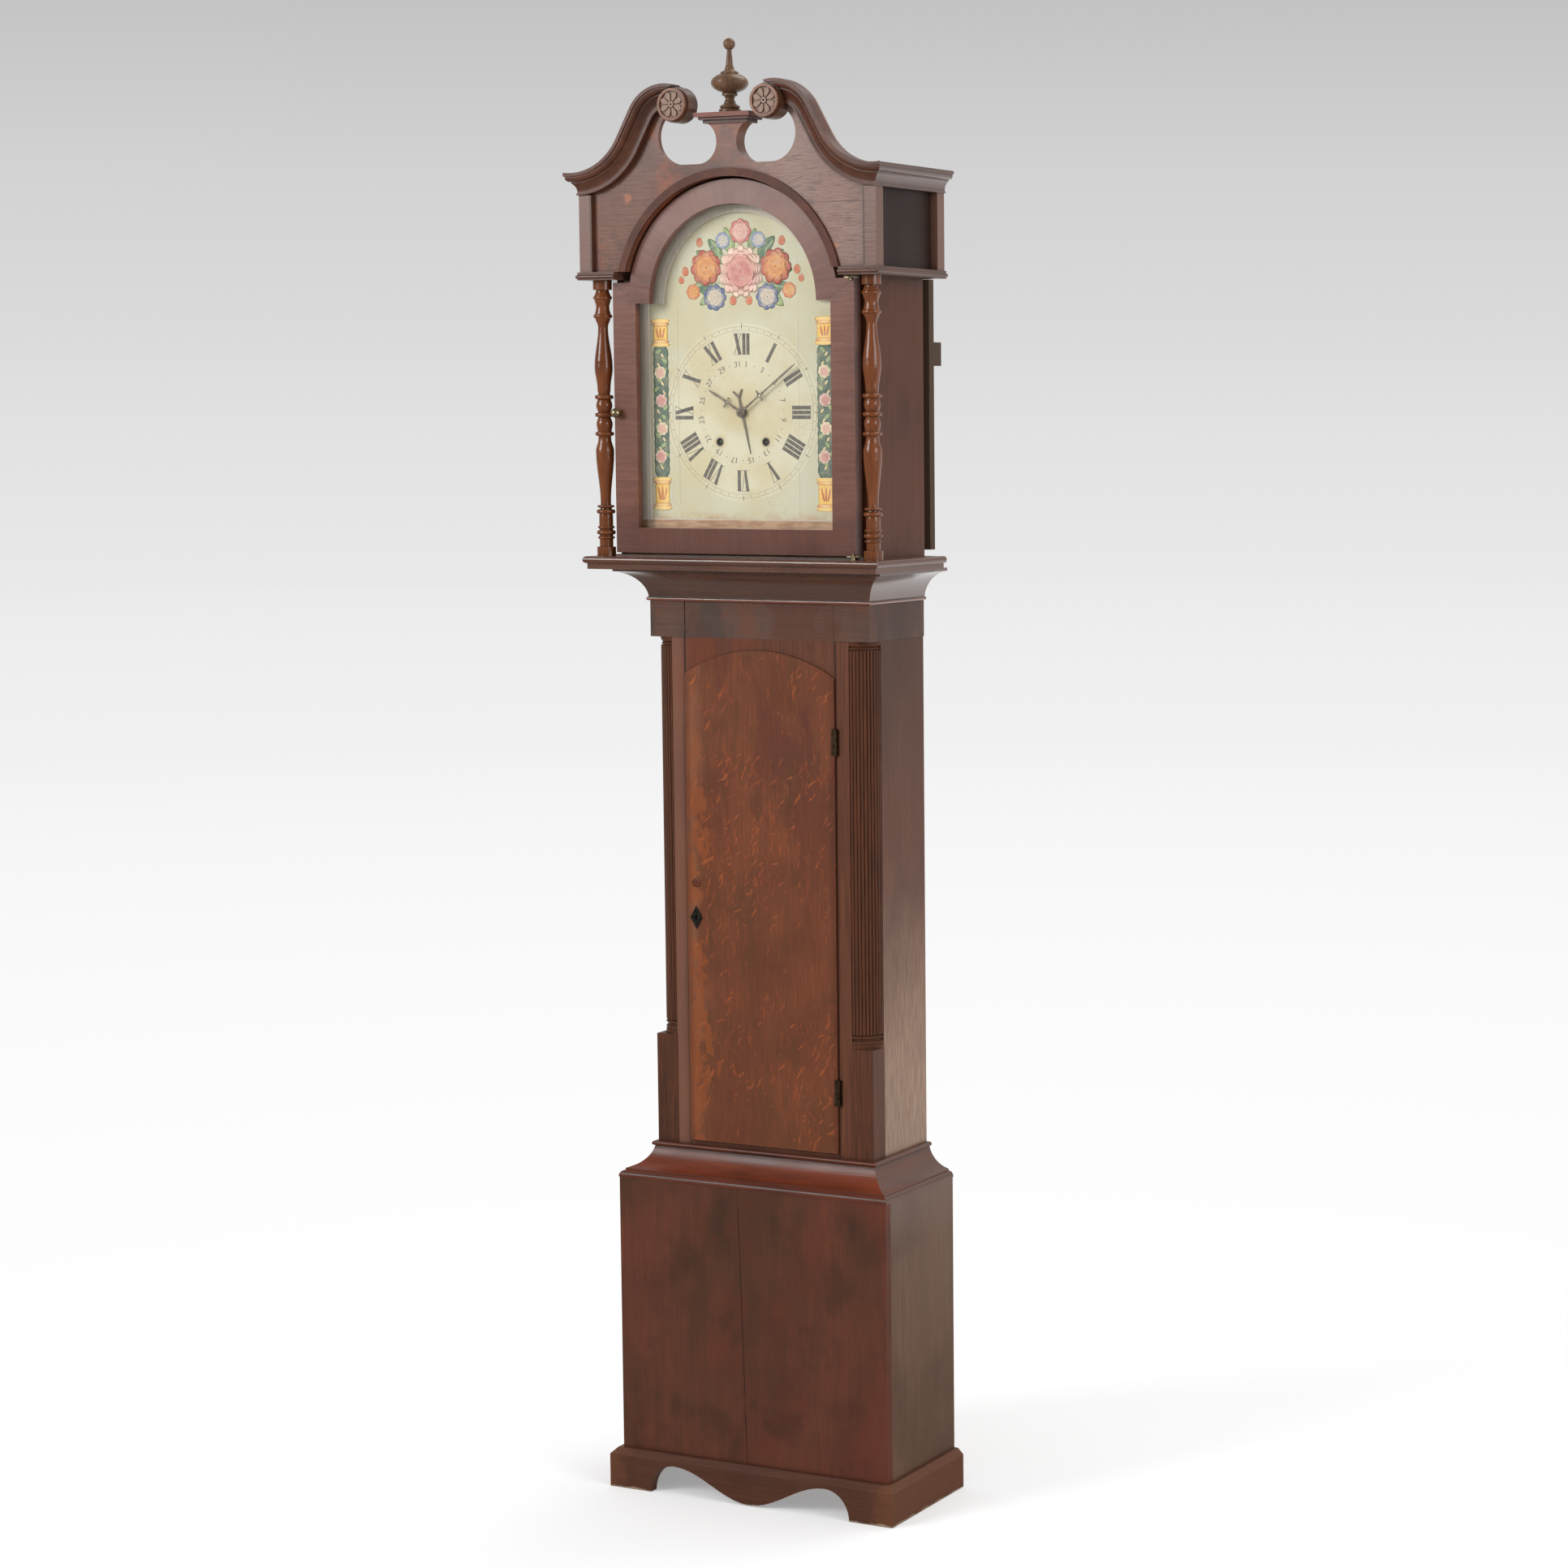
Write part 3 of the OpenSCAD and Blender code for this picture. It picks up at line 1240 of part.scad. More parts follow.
// Calendar hand on a pipe of its own, with its wheel of 62 teeth behind the dial
module calendar_hand() {
  color(iron) turned_forward(0, hand_z, dial_front + 1) linear_extrude(1) difference() {
    rotate(-calendar_turn) union() {
      circle(8.5);
      polygon([[-2.2, 0], [2.2, 0], [0.4, calendar_len], [-0.4, calendar_len]]);
      for (s = [-1, 1]) polygon([[-1.5 * s, -6], [2.2 * s, -6], [1.6 * s, -22], [9 * s, -34], [7 * s, -35],
        [-0.8 * s, -25]]);
    }
    circle(5 + shaft_gap);
  }
  color(brass) difference() {
    union() {
      turned_forward(0, hand_z, dial_front - dial_t - 3) linear_extrude(2) teeth(62, 30, 0.9, 0, 0.4);
      turned_forward(0, hand_z, dial_front - dial_t - 3) cylinder(r = 6.5, h = dial_t + 4);
    }
    turned_forward(0, hand_z, dial_front - dial_t - 4) cylinder(r = 5 + shaft_gap, h = dial_t + 8);
  }
}

// Pallets on their arbor, and the crutch that reaches down behind to the pendulum's rod
module anchor() {
  span = escape_r + 1.4;
  color(steel) {
    turned_forward(0, pallet_z, plate_back - 12) cylinder(r = pivot_r, h = arbor_len + 12.2);
    turned_forward(0, pallet_z, escape_d - 1) linear_extrude(4) {
      circle(5);
      both_sides_flat() polygon([[0, 4], [12, 0], [span - 4, -10], [span - 1.5, -18], [span + 1.5, -17],
        [span, -7], [14, 4], [0, 8]]);
    }
    board(-1.5, 1.5, plate_back - 12, plate_back - 9, pallet_z - 110, pallet_z);
    board(-1.5, 1.5, pendulum_d + 7, plate_back - 9, pallet_z - 113, pallet_z - 110);
    both_sides() board(3.4, 5, pendulum_d - 5, pendulum_d + 7, pallet_z - 113, pallet_z - 110);
    board(-5, 5, pendulum_d + 5.4, pendulum_d + 7, pallet_z - 113, pallet_z - 110);
  }
}

module both_sides_flat() {
  children();
  mirror([1, 0]) children();
}

// Pendulum: spring, rod and a lens-shaped bob on a rating nut
rod_r = 2.6;

module pendulum_rod() {
  color(steel) {
    board(-4, 4, pendulum_d - 0.2, pendulum_d + 0.2, pallet_z - 12, pallet_z + 7.8);
    board(-5, 5, pendulum_d - 2.5, pendulum_d + 2.5, pallet_z - 18, pallet_z - 10);
    translate([0, at(pendulum_d), bob_z - bob_r - 22])
      cylinder(r = rod_r, h = pallet_z - 17 - bob_z + bob_r + 22);
    translate([0, at(pendulum_d), bob_z - bob_r - 13]) cylinder(r = 9, h = 6);
  }
}

module pendulum_bob() {
  swell = 11;
  lens_r = (bob_r * bob_r + swell * swell) / (2 * swell);
  color(brass) difference() {
    turned_forward(0, bob_z, pendulum_d) intersection() {
      translate([0, 0, lens_r - swell]) sphere(lens_r, $fn = 200);
      translate([0, 0, swell - lens_r]) sphere(lens_r, $fn = 200);
      cylinder(r = bob_r - 1, h = 4 * swell, center = true);
    }
    translate([0, at(pendulum_d), bob_z - bob_r - 1]) cylinder(r = rod_r + shaft_gap, h = 2 * bob_r + 2);
  }
}

// Strike hammer: arbor, tail and a head that rests just clear of the bell's rim
module hammer() {
  head_z = bell_z + bell_up + 4;
  color(steel) {
    turned_forward(hammer_x, hammer_z, plate_back + 0.2)
      cylinder(r = pivot_r, h = arbor_len);
    board(hammer_x - 1.5, hammer_x + 1.5, bell_d - 1.5, bell_d + 1.5, hammer_z - 14, head_z);
    translate([hammer_x - 5, at(bell_d), head_z]) rotate([0, 90, 0])
      cylinder(r = 5, h = -bell_r - 2.5 - hammer_x + 5);
  }
}

backboard();
base_front_panel();
base_boards();
bracket_skirt();
base_moulding();
trunk_sides();
trunk_front_frame();
quarter_columns();
trunk_frieze();
trunk_cove_moulding();
seat_board();
trunk_hinges();
dial();
movement_frame();
back_cock();
bell();
trunk_door();
trunk_door_leaves();
escutcheon();
door_lock();
lock_bolt();
hood_sides();
hood_base();
hood_columns();
hood_frieze_frame();
side_frieze_panels();
tympanum();
arch_band();
swan_neck_mouldings();
rosettes();
hood_cornices();
hood_top_board();
finial();
dial_mask();
door_pivots();
hood_door();
hood_door_glass();
hood_door_fittings();
going_great_wheel();
going_barrel();
going_weight();
going_pulley();
going_cord();
strike_great_wheel();
strike_barrel();
strike_weight();
strike_pulley();
strike_cord();
centre_wheel();
minute_hand();
hour_wheel();
hour_hand();
minute_wheel();
third_wheel();
escape_wheel();
anchor();
pendulum_rod();
pendulum_bob();
hammer();
calendar_hand();
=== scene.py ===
"""Looks of a longcase clock with an arched painted dial.

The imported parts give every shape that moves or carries. This script gives them their
finishes and adds what is painted, twisted or inlaid on them. All lengths are metres.
X runs to the clock's right-hand side in the view, -Y is its front and Z is up.
"""
import math

import bmesh
import bpy
import numpy as np
from mathutils import Euler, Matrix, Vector


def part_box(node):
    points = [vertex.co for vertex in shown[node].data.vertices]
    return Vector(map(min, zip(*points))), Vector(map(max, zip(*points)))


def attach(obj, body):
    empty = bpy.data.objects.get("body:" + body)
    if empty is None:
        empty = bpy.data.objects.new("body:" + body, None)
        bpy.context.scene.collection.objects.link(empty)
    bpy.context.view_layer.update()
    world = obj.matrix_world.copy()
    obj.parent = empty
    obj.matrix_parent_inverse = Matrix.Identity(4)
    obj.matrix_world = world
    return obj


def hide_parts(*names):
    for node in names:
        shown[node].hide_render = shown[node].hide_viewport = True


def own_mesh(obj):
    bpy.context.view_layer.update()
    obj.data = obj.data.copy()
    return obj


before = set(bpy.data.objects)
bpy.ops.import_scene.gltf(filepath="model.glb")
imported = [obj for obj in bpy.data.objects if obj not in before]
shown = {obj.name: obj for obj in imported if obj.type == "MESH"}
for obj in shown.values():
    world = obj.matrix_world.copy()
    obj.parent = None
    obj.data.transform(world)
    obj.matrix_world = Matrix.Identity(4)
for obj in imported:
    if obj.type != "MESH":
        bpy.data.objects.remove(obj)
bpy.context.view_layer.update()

# Places that the painted and twisted work is set to
dial_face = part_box("dial")[0].y
hands_height = 1.6948
arch_height = 1.860
winding_side = 0.0405
winding_height = 1.6506
cap_top = 2.1395
rosette_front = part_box("rosettes")[0].y
roll_side = 0.0803
roll_height = 2.1525
built_seam = 0.1325
frieze_seam = 0.2375
frieze_foot = 1.909
spandrel_foot = 1.262
moulding_head = 0.545
mask_strip_head = 1.531
cove_bead_head = 1.4082
door_rail_head = 1.5245
door_rail_half = 0.170
shoulder_corner = (0.146, 1.846)
base_mitre = 0.1465
hood_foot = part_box("hood_base")[0].z
line_depth = 0.0065
pulley_height = 0.8538
gut_radius = 0.00069


# Node helpers

def reckoned(operation, turned=False):
    """An operator of a wire as one Math node. Turned is for a number that stands before the wire."""
    if turned:
        return lambda wire, other: step(operation, other, wire)
    return lambda wire, other=0: step(operation, wire, other)


class Wire:
    """A node's output that can be reckoned with like a number: each step is one Math node in its tree."""

    __add__ = reckoned("ADD")
    __radd__ = reckoned("ADD", True)
    __sub__ = reckoned("SUBTRACT")
    __rsub__ = reckoned("SUBTRACT", True)
    __mul__ = reckoned("MULTIPLY")
    __truediv__ = reckoned("DIVIDE")
    __abs__ = reckoned("ABSOLUTE")
    __gt__ = reckoned("GREATER_THAN")
    __lt__ = reckoned("LESS_THAN")

    def __init__(self, socket):
        self.socket, self.tree = socket, socket.id_data

    def beside(self, key):
        """Another output of the same node."""
        return Wire(self.socket.node.outputs[key])

    def every(self):
        """All the outputs of the node."""
        return [Wire(socket) for socket in self.socket.node.outputs]


def give(node, name, value):
    """Links a node's input where a wire is given and sets it otherwise."""
    if isinstance(value, Wire):
        value.tree.links.new(value.socket, node.inputs[name])
    else:
        node.inputs[name].default_value = value


def put(tree, kind, inputs=(), take=0, **settings):
    """A new node with its settings and inputs. Gives the output that take names."""
    node = tree.nodes.new("ShaderNode" + kind)
    for name, value in settings.items():
        setattr(node, name, value)
    for name, value in dict(inputs).items():
        give(node, name, value)
    return Wire(node.outputs[take])


def step(operation, first, second=0, clamp=False):
    """One arithmetic step on numbers."""
    tree = (first if isinstance(first, Wire) else second).tree
    return put(tree, "Math", {0: first, 1: second}, operation=operation, use_clamp=clamp)


def vectors(operation, *given, take=0):
    """One step on vectors."""
    return put(given[0].tree, "VectorMath", enumerate(given), take, operation=operation)


def axes(vector):
    """The X, Y and Z of a vector."""
    return put(vector.tree, "SeparateXYZ", {0: vector}).every()


def vector_of(x, y, z=0):
    """A vector from its X, Y and Z."""
    return put(x.tree, "CombineXYZ", {0: x, 1: y, 2: z})


def span(a, b):
    """The length of the diagonal over two sides."""
    return step("SQRT", a * a + b * b)


def ramped(value, low, high, to_low=0, to_high=1):
    """A smooth step: to_low below low, to_high above high."""
    return put(value.tree, "MapRange", {"Value": value, "From Min": low, "From Max": high,
               "To Min": to_low, "To Max": to_high}, interpolation_type="SMOOTHSTEP")


def near_line(value, middle, half):
    """1 on a thin line where value equals middle, 0 beyond half away."""
    return ramped(abs(value - middle), half * 0.4, half, 1, 0)


def moved(vector, factors, offset=None):
    """A vector times factors, plus an offset."""
    stretched = vectors("MULTIPLY", vector, factors)
    return vectors("ADD", stretched, offset) if offset else stretched


def cloudy(vector, scale, detail=3, rough=0.55):
    """Smooth noise from 0 to 1."""
    return put(vector.tree, "TexNoise", {"Vector": vector, "Scale": scale, "Detail": detail,
               "Roughness": rough})


def patches(place, stretch, offset, noise, low, high, to_low=0, to_high=1):
    """Soft patches over the stretched and shifted place. Noise is its scale, detail and roughness."""
    return ramped(cloudy(moved(place, stretch, offset), *noise), low, high, to_low, to_high)


def swayed(vector, scale, push, base, detail=2):
    """A base vector pushed about by coloured noise that is laid over the first one."""
    noise = put(vector.tree, "TexNoise", {"Vector": vector, "Scale": scale, "Detail": detail}, "Color")
    return vectors("MULTIPLY_ADD", noise, push, base)


def between(share, colour_a, colour_b):
    """Colour a turning into colour b as share goes from 0 to 1."""
    return put(share.tree, "Mix", {0: share, 6: colour_a, 7: colour_b}, 2, data_type="RGBA")


def paint(red, green, blue):
    """A colour as seen on a screen, 0 to 255, as linear light."""
    c = np.array([red, green, blue]) / 255
    return tuple(np.where(c <= 0.04045, c / 12.92, ((c + 0.055) / 1.055) ** 2.4)) + (1,)


def tinted(colour, share, *tone):
    """The colour turning into a tone as seen on a screen, as share goes from 0 to 1."""
    return between(share, colour, paint(*tone))


def dimmed(colour, share):
    """A colour with a share of its light."""
    return tuple(share * c for c in colour[:3]) + (1,)


vector = "NodeSocketVector"
number = "NodeSocketFloat"


def group_of(name, takes, gives):
    """An empty node group: its inputs as wires by name, and the node that takes its outputs."""
    tree = bpy.data.node_groups.new(name, "ShaderNodeTree")
    for sockets, side in ((takes, "INPUT"), (gives, "OUTPUT")):
        for label, kind in sockets.items():
            tree.interface.new_socket(name=label, in_out=side, socket_type=kind)
    given = {socket.name: Wire(socket) for socket in tree.nodes.new("NodeGroupInput").outputs}
    return given, tree.nodes.new("NodeGroupOutput")


def make_wood_fibre():
    """Fibres, pores, broad streaks and clouds of a sawn board. Stretch is cycles a metre along each axis."""
    takes = {"Position": vector, "Stretch": vector, "Seed": vector, "Cloud Scale": number}
    gives = {"Fibre": number, "Pore": number, "Streak": number, "Cloud": number, "Shade": number}
    given, out = group_of("wood_fibre", takes, gives)
    shifted = vectors("ADD", given["Position"], given["Seed"])
    along = vectors("MULTIPLY", swayed(shifted, 5, (0.012, 0.012, 0.012), shifted), given["Stretch"])
    broad = put(out.id_data, "TexNoise", {"Vector": shifted, "Scale": given["Cloud Scale"], "Detail": 3})
    green = put(out.id_data, "SeparateColor", {0: broad.beside(1)}, 1)
    give(out, "Fibre", cloudy(along, 1, 4, 0.62))
    give(out, "Pore", ramped(cloudy(along, 3.1, 2, 0.7), 0.60, 0.74))
    give(out, "Streak", ramped(cloudy(along, 0.17, 3, 0.6), 0.36, 0.66))
    give(out, "Cloud", ramped(broad, 0.36, 0.68))
    give(out, "Shade", ramped(green, 0.46, 0.68))
    return out.id_data


def make_worn_edge():
    """Where a rounded normal departs from the flat one, broken up by noise: the rubbed corners, which the
    wood finishes lighten partly as wear and partly as a painted edge highlight.
    """
    given, out = group_of("edge_wear_and_highlight", {"Position": vector, "Reach": number}, {"Mask": number})
    rounded = put(out.id_data, "Bevel", {"Radius": given["Reach"]}, samples=4)
    flat = put(out.id_data, "NewGeometry", take="Normal")
    edge = ramped(1 - vectors("DOT_PRODUCT", rounded, flat, take="Value"), 0.03, 0.30)
    rubbed = ramped(cloudy(given["Position"], 38, 3, 0.6), 0.40, 0.66, 0.15, 1)
    give(out, "Mask", edge * rubbed)
    return out.id_data


def make_hollow_grime():
    """Where a point is closed in by what stands within Reach of it: painted shade in the hollows and the gaps
    between parts, together with the dark of old wax.
    """
    given, out = group_of("hollow_shade_and_wax", {"Position": vector, "Reach": number}, {"Mask": number})
    opened = put(out.id_data, "AmbientOcclusion", {"Distance": given["Reach"]}, "AO", samples=6)
    spread = ramped(cloudy(given["Position"], 24, 3), 0.3, 0.6, 0.7, 1)
    give(out, "Mask", ramped(opened, 0.25, 0.80, 1, 0) * spread)
    return out.id_data


def make_hand_polish():
    """Old polish: uneven gloss with smears and a little dust. Gives roughness and a height."""
    given, out = group_of("hand_polish", {"Position": vector, "Gloss": number, "Spread": number},
                          {"Roughness": number, "Height": number})
    smear = cloudy(moved(given["Position"], (14, 14, 5)), 1, 4, 0.6)
    speck = cloudy(given["Position"], 420, 2, 0.6)
    give(out, "Roughness", given["Gloss"] + (smear - 0.5) * given["Spread"] + speck * 0.05)
    give(out, "Height", speck)
    return out.id_data


def make_tarnish():
    """Darkened patches and fine scratches on metal."""
    takes = {"Position": vector, "Scale": number}
    given, out = group_of("tarnish", takes, {"Patch": number, "Scratch": number})
    give(out, "Patch", ramped(cloudy(given["Position"], given["Scale"], 5, 0.65), 0.38, 0.66))
    give(out, "Scratch", cloudy(moved(given["Position"], (900, 900, 60)), 1, 2, 0.6))
    return out.id_data


def make_band_directions():
    """Turns a place on the hood door into one whose Z runs along the cross-banded fibres:
    across the stiles, up the bottom rail and outwards round the arch."""
    given, out = group_of("band_directions", {"Position": vector, "Arch Height": number}, {"Vector": vector})
    x, y, z = axes(given["Position"])
    rise = z - given["Arch Height"]
    away = span(x, rise)
    stile = vector_of(z, y, x)
    arch = vector_of(step("ARCTAN2", x, rise) * 0.165, y, away)
    in_arch = (away < 0.186) * (rise > -0.004)
    in_rail = (z < door_rail_head) * (abs(x) < door_rail_half)
    bent = put(out.id_data, "Mix", {0: in_arch, 4: stile, 5: arch}, 1, data_type="VECTOR")
    level = put(out.id_data, "Mix", {0: in_rail, 4: bent, 5: given["Position"]}, 1, data_type="VECTOR")
    give(out, "Vector", level)
    return out.id_data


wood_fibre = make_wood_fibre()
edge_wear_and_highlight = make_worn_edge()
hollow_shade_and_wax = make_hollow_grime()
hand_polish = make_hand_polish()
tarnish = make_tarnish()
band_directions = make_band_directions()


def placed(group, **inputs):
    """A shared effect placed in a material with its own values. Gives all its outputs."""
    named = {name.replace("_", " "): value for name, value in inputs.items()}
    return put(inputs["Position"].tree, "Group", named, node_tree=group).every()


def new_finish(name, preview):
    """An empty material: itself, its Principled shader and the place on the object."""
    finish = bpy.data.materials.new(name)
    finish.use_nodes = True
    finish.diffuse_color = preview
    tree = finish.node_tree
    tree.nodes.clear()
    shader = tree.nodes.new("ShaderNodeBsdfPrincipled")
    tree.links.new(shader.outputs[0], tree.nodes.new("ShaderNodeOutputMaterial").inputs[0])
    return finish, shader, put(tree, "TexCoord", take="Object")


def shader_mix(share, shader_a, shader_b):
    """Shader a turning into shader b as share goes from 0 to 1."""
    return put(share.tree, "MixShader", {0: share, 1: shader_a, 2: shader_b})


def end_with(last):
    """Makes a shader the last one of its material."""
    give(next(node for node in last.tree.nodes if node.type == "OUTPUT_MATERIAL"), 0, last)


def polished(shader, place, colour, gloss, spread):
    """Gives a shader its colour and the gloss of old polish. Gives back the polish's specks."""
    rough, speck = placed(hand_polish, Position=place, Gloss=gloss, Spread=spread)
    give(shader, "Base Color", colour)
    give(shader, "Roughness", rough)
    return speck


def bumped(shader, height, depth, strength=1):
    """Feeds a height into the shader's normal. Depth is metres from the lowest to the highest."""
    bump = put(height.tree, "Bump", {"Height": height, "Distance": depth, "Strength": strength})
    give(shader, "Normal", bump)


def dress(finish, names):
    """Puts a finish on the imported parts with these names, parted by spaces."""
    for part in names.split():
        if not shown[part].data.materials:
            shown[part].data.materials.append(finish)
        for slot in shown[part].material_slots:
            slot.material = finish


# Finishes

def wood(name, parts, dark, middle, light, rubbed_and_highlight, stretch=(330, 330, 9), seed=(0, 0, 0), cloud=6,
         grain=0.45, gloss=0.42, spread=0.22, coat=0.05, shine=0.35, reach=0.0022, banded=False, extra=None,
         grime_and_shade=0.75):
    """Polished wood on some parts: middle, with broad streaks to light, clouds and fibres to dark, corners
    rubbed paler, partly wear and partly a painted edge highlight, and hollows darkened, partly old wax and
    partly painted shade."""
    dark, middle, light = paint(*dark), paint(*middle), paint(*light)
    finish, shader, place = new_finish(name, middle)
    where = placed(band_directions, Position=place, Arch_Height=arch_height)[0] if banded else place
    fibre, pore, streak, cloud_mask, shade = placed(wood_fibre, Position=where, Stretch=stretch, Seed=seed,
                                                    Cloud_Scale=cloud)
    colour = between(streak * 0.6, middle, light)
    colour = between(shade * 0.55, colour, dark)
    colour = between(cloud_mask * 0.3, colour, light)
    colour = between(ramped(fibre, 0.38, 0.62, grain, 0), colour, dark)
    colour = between(pore * (0.35 * grain), colour, dimmed(dark, 0.5))
    if extra:
        colour = extra(place, colour)
    # rubbed corners lightened: partly wear, partly a painted edge highlight
    edge = placed(edge_wear_and_highlight, Position=place, Reach=reach)[0]
    colour = tinted(colour, edge * 0.55, *rubbed_and_highlight)
    # painted shade in the hollows and gaps, with the dark of old wax
    hollow = placed(hollow_shade_and_wax, Position=place, Reach=0.012)[0]
    colour = between(hollow * grime_and_shade, colour, dimmed(dark, 0.35))
    speck = polished(shader, place, colour, gloss, spread)
    give(shader, "Specular IOR Level", shine)
    give(shader, "Coat Weight", coat)
    give(shader, "Coat Roughness", 0.22)
    bumped(shader, fibre + speck * 0.25, 0.00022)
    dress(finish, parts)
    return finish


def spots(flat, seed, cell, wide, long, lean, share):
    """Long spots scattered on a plane, one in each cell: each is turned at random by up to lean, bent like a
    bow and kept only where its own random number is under share. Gives a mask and a random tone."""
    spread = moved(flat, (1 / cell, 1 / cell, 0), seed)
    home = put(flat.tree, "TexVoronoi", {"Vector": spread, "Scale": 1}, "Color", voronoi_dimensions="2D")
    chance = put(flat.tree, "SeparateColor", {0: home}).every()
    local = vectors("SUBTRACT", spread, home.beside("Position"))
    turned = put(flat.tree, "VectorRotate", {"Vector": local, "Angle": (chance[0] - 0.5) * (2 * lean)},
                 rotation_type="Z_AXIS")
    across, along, _ = axes(turned)
    size = chance[1] * 0.9 + 0.55
    v = along * (cell / long) / size
    bow = v * v * (chance[1] - 0.3)
    u = across * (cell / wide) / size + bow
    return ramped(span(u, v), 0.45, 1, 1, 0) * (chance[2] < share), chance[0]


def upright_seams(place, low, colour):
    """The dark joints between the ends and the middle of the front, above a height."""
    x, _, z = axes(place)
    seam = near_line(abs(x), built_seam, 0.0009) * (z > low)
    return tinted(colour, seam * 0.85, 30, 16, 12)


def base_joint(place, colour):
    """The glued joint that has opened in the base panel, olive shade at its head and a dark bloom of damp."""
    x, _, z = axes(place)
    olive = patches(place, (1, 1, 0.5), (0.9, 0, 4.7), (7, 3, 0.6), 0.42, 0.62)
    colour = tinted(colour, olive * ramped(z - x * 0.7, 0.12, 0.45, 0.15, 0.75), 70, 46, 29)
    red = patches(place, (1, 1, 0.6), (6.2, 0, 1.1), (9, 3, 0.6), 0.48, 0.66)
    colour = tinted(colour, red * 0.5, 106, 48, 32)
    damp = patches(place, (1, 1, 0.8), (3.1, 0, 1.7), (13, 3, 0.6), 0.52, 0.70)
    colour = tinted(colour, damp * 0.4, 58, 38, 28)
    wander = (cloudy(place, 9) - 0.5) * 0.004
    line = z * -0.0287 + (-0.0091 + wander)
    crack = near_line(x - line, 0, 0.0011) * ramped(cloudy(place, 17), 0.3, 0.5, 0.35, 1)
    return tinted(colour, crack * 0.85, 40, 20, 15)


def front_seams(place, colour):
    """Seams beside the spandrel above the door, orange wash in it, and a painted shadow line along the door's
    edge.
    """
    x, _, z = axes(place)
    wash = patches(place, (1, 1, 0.4), (5, 0, 2), (15, 3, 0.6), 0.44, 0.62)
    wash = wash * (z > spandrel_foot - 0.022) * ramped(x, -0.10, 0.06, 0.5, 0.1)
    colour = tinted(colour, wash, 128, 60, 34)
    colour = tinted(colour, ramped(x, -0.15, -0.12, 0.55, 0), 136, 94, 76)
    # painted shadow that the door's lip casts on the stiles
    shade = ramped(abs(x), built_seam + 0.0010, built_seam + 0.0055, 0.7, 0) * (abs(x) > built_seam)
    colour = tinted(colour, shade, 44, 24, 18)
    return upright_seams(place, spandrel_foot, colour)


def oak_rays(place, colour):
    """Quarter-sawn ray flecks in four sizes, purple shades high up, and orange patches on the lock side."""
    x, _, z = axes(place)
    bent = swayed(place, 42, (0.024, 0.018, 0), vector_of(x, z), 3)
    purple = patches(place, (1, 1, 0.5), (0.4, 0, 0), (10, 4, 0.65), 0.46, 0.60)
    colour = tinted(colour, purple * ramped(z, 0.86, 1.16, 0.12, 0.48), 84, 40, 34)
    olive = patches(place, (1.6, 1, 0.7), (9.1, 0, 3), (12, 4, 0.65), 0.50, 0.62)
    colour = tinted(colour, olive * 0.45, 90, 56, 32)
    rubbed = patches(place, (1.2, 1, 0.5), (2.3, 0, 0.7), (14, 4, 0.65), 0.40, 0.60)
    colour = tinted(colour, rubbed * ramped(x, -0.125, -0.085, 0.6, 0), 148, 94, 64)
    ragged = cloudy(moved(place, (1.5, 1, 0.9), (7.3, 0, 0)), 16, 5, 0.7)
    warm = ramped(ragged - ramped(x, -0.125, -0.055, -0.01, 0.24), 0.47, 0.50)
    colour = tinted(colour, warm * ramped(z, 1.10, 1.24, 1, 0.2) * 0.6, 146, 76, 32)
    thick = patches(place, (1, 1, 1), (1.9, 0, 8.8), (11, 2), 0.48, 0.62, 0.08, 0.85)
    many = thick * ramped(z, 0.80, 1.10, 0.45, 1.15) + ramped(x, 0.06, 0.12, 0, 0.2)
    for seed, cell, wide, long, strength in (((3.7, 1.2, 0), 0.0160, 0.0013, 0.0090, 0.66),
                                             ((11.3, 8.1, 0), 0.0100, 0.0008, 0.0046, 0.50),
                                             ((5.9, 17.4, 0), 0.0270, 0.0020, 0.0130, 0.60),
                                             ((8.3, 2.9, 0), 0.0190, 0.0011, 0.0105, 0.62)):
        mask, tone = spots(bent, seed, cell, wide, long, 0.95, many)
        fleck = between(tone, paint(144, 62, 28), paint(174, 90, 42))
        colour = between(mask * ramped(tone, 0, 1, 0.4 * strength, strength), colour, fleck)
    return tinted(colour, ramped(abs(x), 0.119, 0.131, 0, 0.45), 74, 36, 24)


def mottled_veneer(place, colour):
    """Grey-pink veneer with fine level dark grain on the hanging side, paler there partly in its own tone and
    partly as a painted sheen, orange washes on the lock side, round orange spots and the joints."""
    x, _, z = axes(place)
    # paler to the right: the veneer's own tone with a painted sheen
    colour = tinted(colour, ramped(x, -0.02, 0.10, 0, 0.75), 158, 128, 116)
    wash = patches(place, (1, 1, 1), (2, 0, 5), (11, 4, 0.65), 0.46, 0.64)
    colour = tinted(colour, wash * ramped(x, -0.04, 0.10, 0.9, 0.2), 142, 72, 40)
    blot = patches(place, (1, 1, 1.2), (6, 0, 1), (22, 5, 0.7), 0.50, 0.62)
    colour = tinted(colour, blot * ramped(x, -0.04, 0.08, 0.55, 0.25), 84, 56, 44)
    grain = moved(swayed(place, 16, (0, 0, 0.010), place), (30, 40, 880))
    fine = ramped(cloudy(grain, 1, 5, 0.75), 0.46, 0.66)
    colour = tinted(colour, fine * ramped(x, -0.02, 0.08, 0.16, 0.80), 70, 44, 37)
    mask, _ = spots(vector_of(x, z), (1.6, 4.3, 0), 0.055, 0.0058, 0.0066, 1.5, 0.42)
    colour = tinted(colour, mask * 0.5, 190, 112, 70)
    joint = near_line(abs(x), frieze_seam, 0.0009)
    level = near_line(z, 2.0035, 0.0007) * ramped(x, 0.10, 0.105)
    return tinted(colour, step("MAXIMUM", joint, level) * 0.75, 36, 20, 16)


